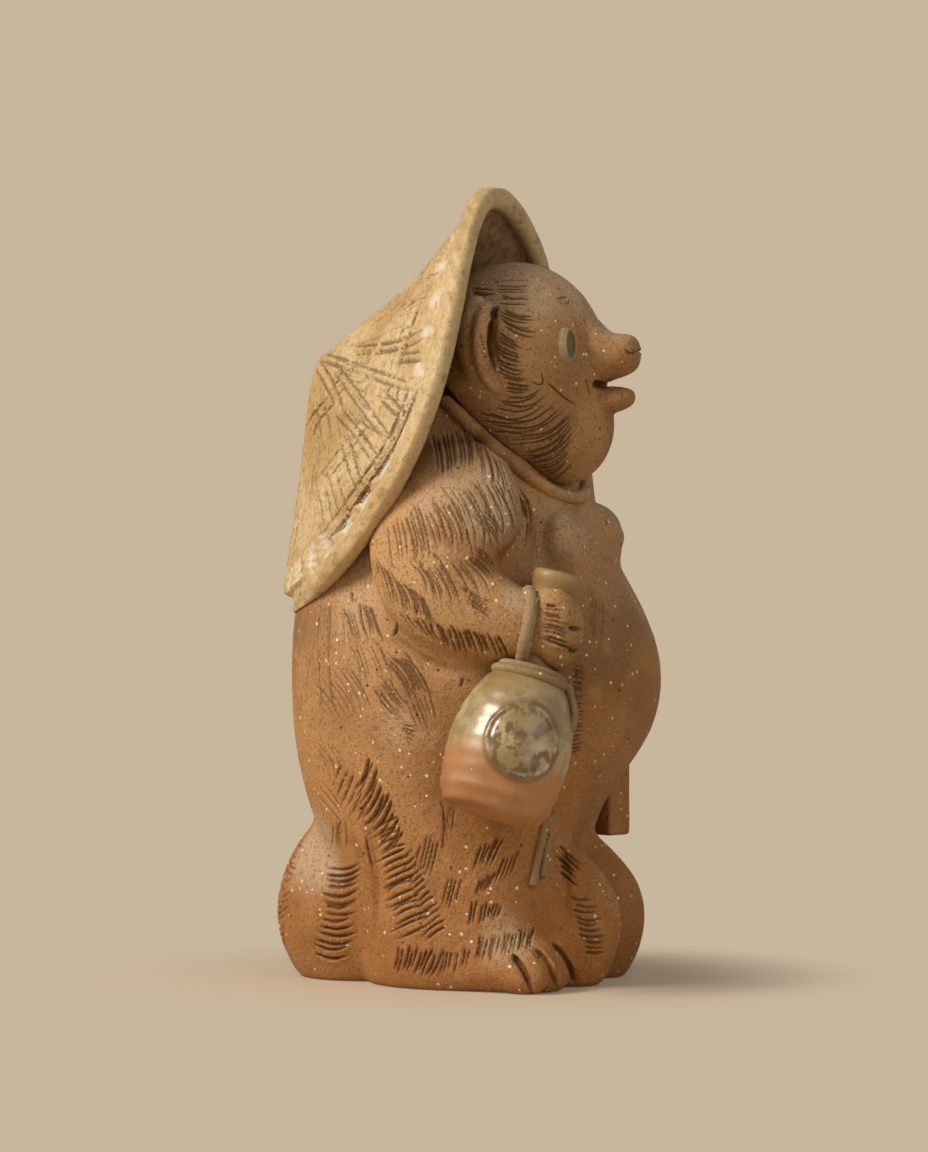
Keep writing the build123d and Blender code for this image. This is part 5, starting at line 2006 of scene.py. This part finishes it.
@dataclass
class CordForm:
    """Rolls of clay: the flask's collar, strap, tassel and ends, and the hat's cord."""

    flask: FlaskForm
    strap: tuple[Pixel, ...] = ((529, 594), (532, 605), (530, 620), (526, 636), (523, 652), (519, 670))
    ends: tuple[tuple[Pixel, ...], ...] = (
        ((546, 810), (541, 835), (535, 860), (531, 886)),
        ((549, 812), (547, 835), (543, 857), (540, 877)),
    )
    chin: tuple[Pixel, ...] = ((446, 404), (470, 428), (500, 455), (530, 481), (552, 495), (570, 501), (583, 497))
    # Radius, level on the flask and girth of each ring of the collar
    collar: tuple[Point, ...] = ((15.9, 62.4, 2.2), (13.9, 65.2, 1.9))
    # Turn from the flask's front and drop of each strand of the tassel
    strands: tuple[tuple[float, float], ...] = ((-0.05, 19.0), (0.16, 21.0))
    strand_level: float = 63.5
    strap_girth: float = 3.1
    strap_lift: float = 1.6
    strand_girth: float = 1.7
    end_girth: float = 2.0
    end_lift: float = 1.0
    chin_girth: float = 2.9
    chin_lift: float = 1.2

    def lines(self, name: str, runs: Sequence[tuple[np.ndarray, float, bool]]) -> bpy.types.Object:
        """Object of open or closed lines with a girth.

        Args:
            name: the object's name.
            runs: points in millimetres, girth in millimetres and whether the line is closed, for each.

        Returns:
            The object.
        """
        points, edges, girths = [], [], []
        for run, girth, closed in runs:
            start = len(points)
            points.extend(run)
            girths.extend([girth] * len(run))
            edges.extend((start + i, start + i + 1) for i in range(len(run) - 1))
            if closed:
                edges.append((start + len(run) - 1, start))
        piece = piece_of(name, points, edges, [])
        set_attribute(piece.data, "girth", np.array(girths))
        return piece

    def lying(self, sheet: StrokeSheet, studio: Studio, path: Sequence[Pixel], lift: float) -> np.ndarray:
        """Path of the view that lies on a skin.

        Args:
            sheet: strokes of the skin.
            studio: the studio.
            path: corners in the view's pixels.
            lift: how far the line is off the skin, in millimetres.

        Returns:
            Points in millimetres.
        """
        points = []
        for point in sheet.seen(studio, path):
            place, normal = sheet.on_surface(point)
            points.append(place + normal * lift)
        return np.array(points)

    def roll(
        self, tree: GeometryTree, name: str, runs: Sequence, material: bpy.types.Material, nodes: Sequence[str]
    ) -> None:
        """Roll the lines and dress them.

        Args:
            tree: the cord tree.
            name: the piece's name.
            runs: the lines, as for lines().
            material: the clay.
            nodes: CAD nodes that the piece stands for.
        """
        lengths = [np.linalg.norm(np.diff(run, axis=0), axis=1).sum() for run, _, _ in runs]
        LOG.info("%s: lines of %s mm", name, ", ".join(f"{length:.0f}" for length in lengths))
        piece = self.lines(name, runs)
        tree.work_on(piece, {"Material": material})
        move_to(piece.data, coordinates(piece.data))
        dress(piece, material, nodes)

    def build(
        self,
        studio: Studio,
        body: StrokeSheet,
        head: StrokeSheet,
        clay: bpy.types.Material,
        khaki: bpy.types.Material,
    ) -> None:
        """Make all the cords.

        Args:
            studio: the studio, for what is set out on the view.
            body: strokes of the body's skin.
            head: strokes of the head's skin.
            clay: the clay material.
            khaki: the paler clay of the flask's cords.
        """
        tree = cord_tree()
        turn = np.linspace(0.0, 2 * math.pi, 90, endpoint=False)
        rings = []
        for radius, level, girth in self.collar:
            local = np.stack([radius * np.cos(turn), radius * np.sin(turn), level + 0 * turn], axis=-1)
            rings.append((self.flask.at(local), girth, True))
        self.roll(tree, "flask_collar", rings, khaki, ("flask_cord_ring",))
        strap = self.lying(body, studio, self.strap, self.strap_lift)
        self.roll(tree, "flask_strap_roll", [(strap, self.strap_girth, False)], khaki, ("flask_strap",))
        strands = []
        for offset, drop in self.strands:
            share = np.linspace(0.0, 1.0, 24)
            around = -math.pi / 2 + offset + 0.10 * share
            out = 17.4 + 6.2 * np.minimum(share * 1.8, 1.0)
            level = self.strand_level - drop * share
            local = np.stack([out * np.cos(around), out * np.sin(around), level], axis=-1)
            strands.append((self.flask.at(local), self.strand_girth, False))
        self.roll(tree, "flask_tassel", strands, khaki, ("flask_cord_knot",))
        ends = [(self.lying(body, studio, path, self.end_lift), self.end_girth, False) for path in self.ends]
        self.roll(tree, "flask_cord_tails", ends, khaki, ("flask_cord_end",))
        near = self.chin_line(studio, body, head)
        far = near[::-1] * np.array([-1.0, 1.0, 1.0])
        middle = (near[-1] + far[0]) / 2 + np.array([0.0, -1.5, 0.0])
        corners = np.concatenate([near[::6], [near[-1], middle, far[0]], far[::6]])
        both = rounded([tuple(p) for p in corners], 1.2)
        self.roll(tree, "hat_cord_roll", [(both, self.chin_girth, False)], clay, ("hat_cord",))

    def chin_line(self, studio: Studio, body: StrokeSheet, head: StrokeSheet) -> np.ndarray:
        """Path of the hat's cord under the cheek, on whichever skin is in front.

        Args:
            studio: the studio.
            body: strokes of the body's skin.
            head: strokes of the head's skin.

        Returns:
            Points in millimetres.
        """
        points = []
        for pixel in rounded(self.chin, 2.0):
            found = [met for met in (body.struck(studio, pixel), head.struck(studio, pixel)) if met is not None]
            if found:
                place, normal, _ = min(found, key=lambda met: met[2])
                points.append(place + normal * self.chin_lift)
        return np.array(points)


@dataclass
class EyeForm:
    """Applied eye: an upright oval ring of slip round a dished pupil."""

    pixel: Pixel = (566.3, 346.0)
    turn: float = 40.0
    half_width: float = 4.4
    half_height: float = 8.4
    rise: float = 3.2
    root: float = 3.0
    pupil_half_width: float = 2.5
    pupil_half_height: float = 5.8
    pupil_forward: float = 0.9
    pupil_up: float = 0.8
    pupil_depth: float = 1.5
    rings: int = 28
    segments: int = 72

    def build(self, studio: Studio, head: StrokeSheet, slip: bpy.types.Material) -> None:
        """Make both eyes.

        Args:
            studio: the studio, for the eye's place on the view.
            head: strokes of the head's skin.
            slip: the eyes' material.
        """
        centre = head.struck(studio, self.pixel)[0]
        turn = math.radians(self.turn)
        for name, side in (("eye_right", -1.0), ("eye_left", 1.0)):
            out = np.array([side * math.sin(turn), -math.cos(turn), 0.05])
            out = out / np.linalg.norm(out)
            wide = np.cross(np.array([0.0, 0.0, 1.0]), out)
            wide = wide / np.linalg.norm(wide)
            high = np.cross(out, wide)
            self.make(name, centre * np.array([-side, 1.0, 1.0]), (wide, high, out), side, slip)

    def make(
        self, name: str, centre: np.ndarray, axes: Sequence[np.ndarray], side: float, slip: bpy.types.Material
    ) -> None:
        """Make one eye.

        Args:
            name: the CAD node that it stands for.
            centre: its middle on the head, in millimetres.
            axes: the directions across, up and out.
            side: -1 for the right eye, 1 for the left.
            slip: its material.
        """
        wide, high, out = axes
        share = np.linspace(1.0 / self.rings, 1.0, self.rings)[:, None]
        ring = np.linspace(0.0, 2 * math.pi, self.segments, endpoint=False)[None, :]
        x = share * np.cos(ring) * self.half_width
        y = share * np.sin(ring) * self.half_height
        dome = self.rise * np.sqrt(np.maximum(1.0 - share**3, 0.0)) * np.ones(x.shape)
        forward = -self.pupil_forward * side
        apart = np.hypot((x - forward) / self.pupil_half_width, (y - self.pupil_up) / self.pupil_half_height)
        pupil = 1.0 - smooth_step(apart, 0.80, 1.05)
        z = dome - pupil * (self.pupil_depth + 0.3 * (1.0 - np.minimum(apart, 1.0) ** 2))
        top = np.stack([x, y, z], axis=-1).reshape(-1, 3)
        middle = np.array([[0.0, 0.0, self.rise - 1.05], [0.0, 0.0, -self.root]])
        low = np.stack([x[-1] * 0.96, y[-1] * 0.96, np.full(self.segments, -self.root)], axis=-1)
        local = np.concatenate([top, low, middle])
        places = centre + local[:, :1] * wide + local[:, 1:2] * high + local[:, 2:3] * out
        piece = piece_of(name + "_slip", places, [], lathe_faces(self.rings + 1, self.segments, True))
        # Edge of the dished pupil, which the slip darkens as painted shade.
        groove = np.exp(-(((apart - 1.0) / 0.09) ** 2))
        for label, values in (("pupil", pupil), ("groove", groove)):
            set_attribute(piece.data, label, np.concatenate([values.ravel(), np.zeros(self.segments + 2)]))
        move_to(piece.data, places)
        dress(piece, slip, (name,))


@dataclass
class BookForm:
    """Account book, a slab whose edges are softened."""

    voxel: float = 0.8
    rounds: int = 45
    margin: float = 4.0
    leaves: tuple[float, ...] = (0.3, 0.5, 0.7)
    triangles: int = 60_000
    nodes: tuple[str, ...] = ("account_book",)

    def build(self, carving: GeometryTree, clay: bpy.types.Material) -> None:
        """Soften, roughen and dress the book.

        Args:
            carving: the carving tree.
            clay: the clay material.
        """
        piece = joined_copy("account_book_slab", self.nodes)
        remeshed(piece, self.voxel, self.rounds)
        places = coordinates(piece.data)
        sheet = StrokeSheet(piece, 41)
        low, high = places.min(0), places.max(0)
        for share in self.leaves:
            line = []
            for level in np.linspace(low[2] + self.margin, high[2] - self.margin, 30):
                place = np.array([high[0], low[1] + (high[1] - low[1]) * share, level])
                line.append(sheet.on_surface(place)[0])
            sheet.add(line, 0.6, 0.7)
        carved(piece, sheet, carving, {"Material": clay, "Unevenness": 0.4})
        move_to(piece.data, coordinates(piece.data))
        thinned(piece, self.triangles)
        dress(piece, clay, self.nodes)


def main() -> None:
    """Build the pieces in order."""
    logging.basicConfig(level=logging.INFO, format="%(message)s")
    studio = Studio()
    studio.build()
    clay = ClayFinish("clay").build()
    carving = carving_tree()
    body = BodyForm().build(studio, carving, clay)
    head = HeadForm().build(studio, carving, clay)
    HatForm().build(studio, carving, HatFinish().build())
    flask = FlaskForm()
    flask.build(JarFinish().build())
    khaki = ClayFinish("cord_clay", (0.40, 0.275, 0.150), (0.21, 0.125, 0.052), (0.30, 0.185, 0.080)).build()
    CordForm(flask).build(studio, body, head, clay, khaki)
    EyeForm().build(studio, head, EyeFinish().build())
    BookForm().build(carving, clay)
    for name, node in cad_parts.items():
        if not node.hide_render:
            node.data.materials.clear()
            node.data.materials.append(clay)
            LOG.info("%s keeps its solid", name)


if __name__ == "__main__":
    main()
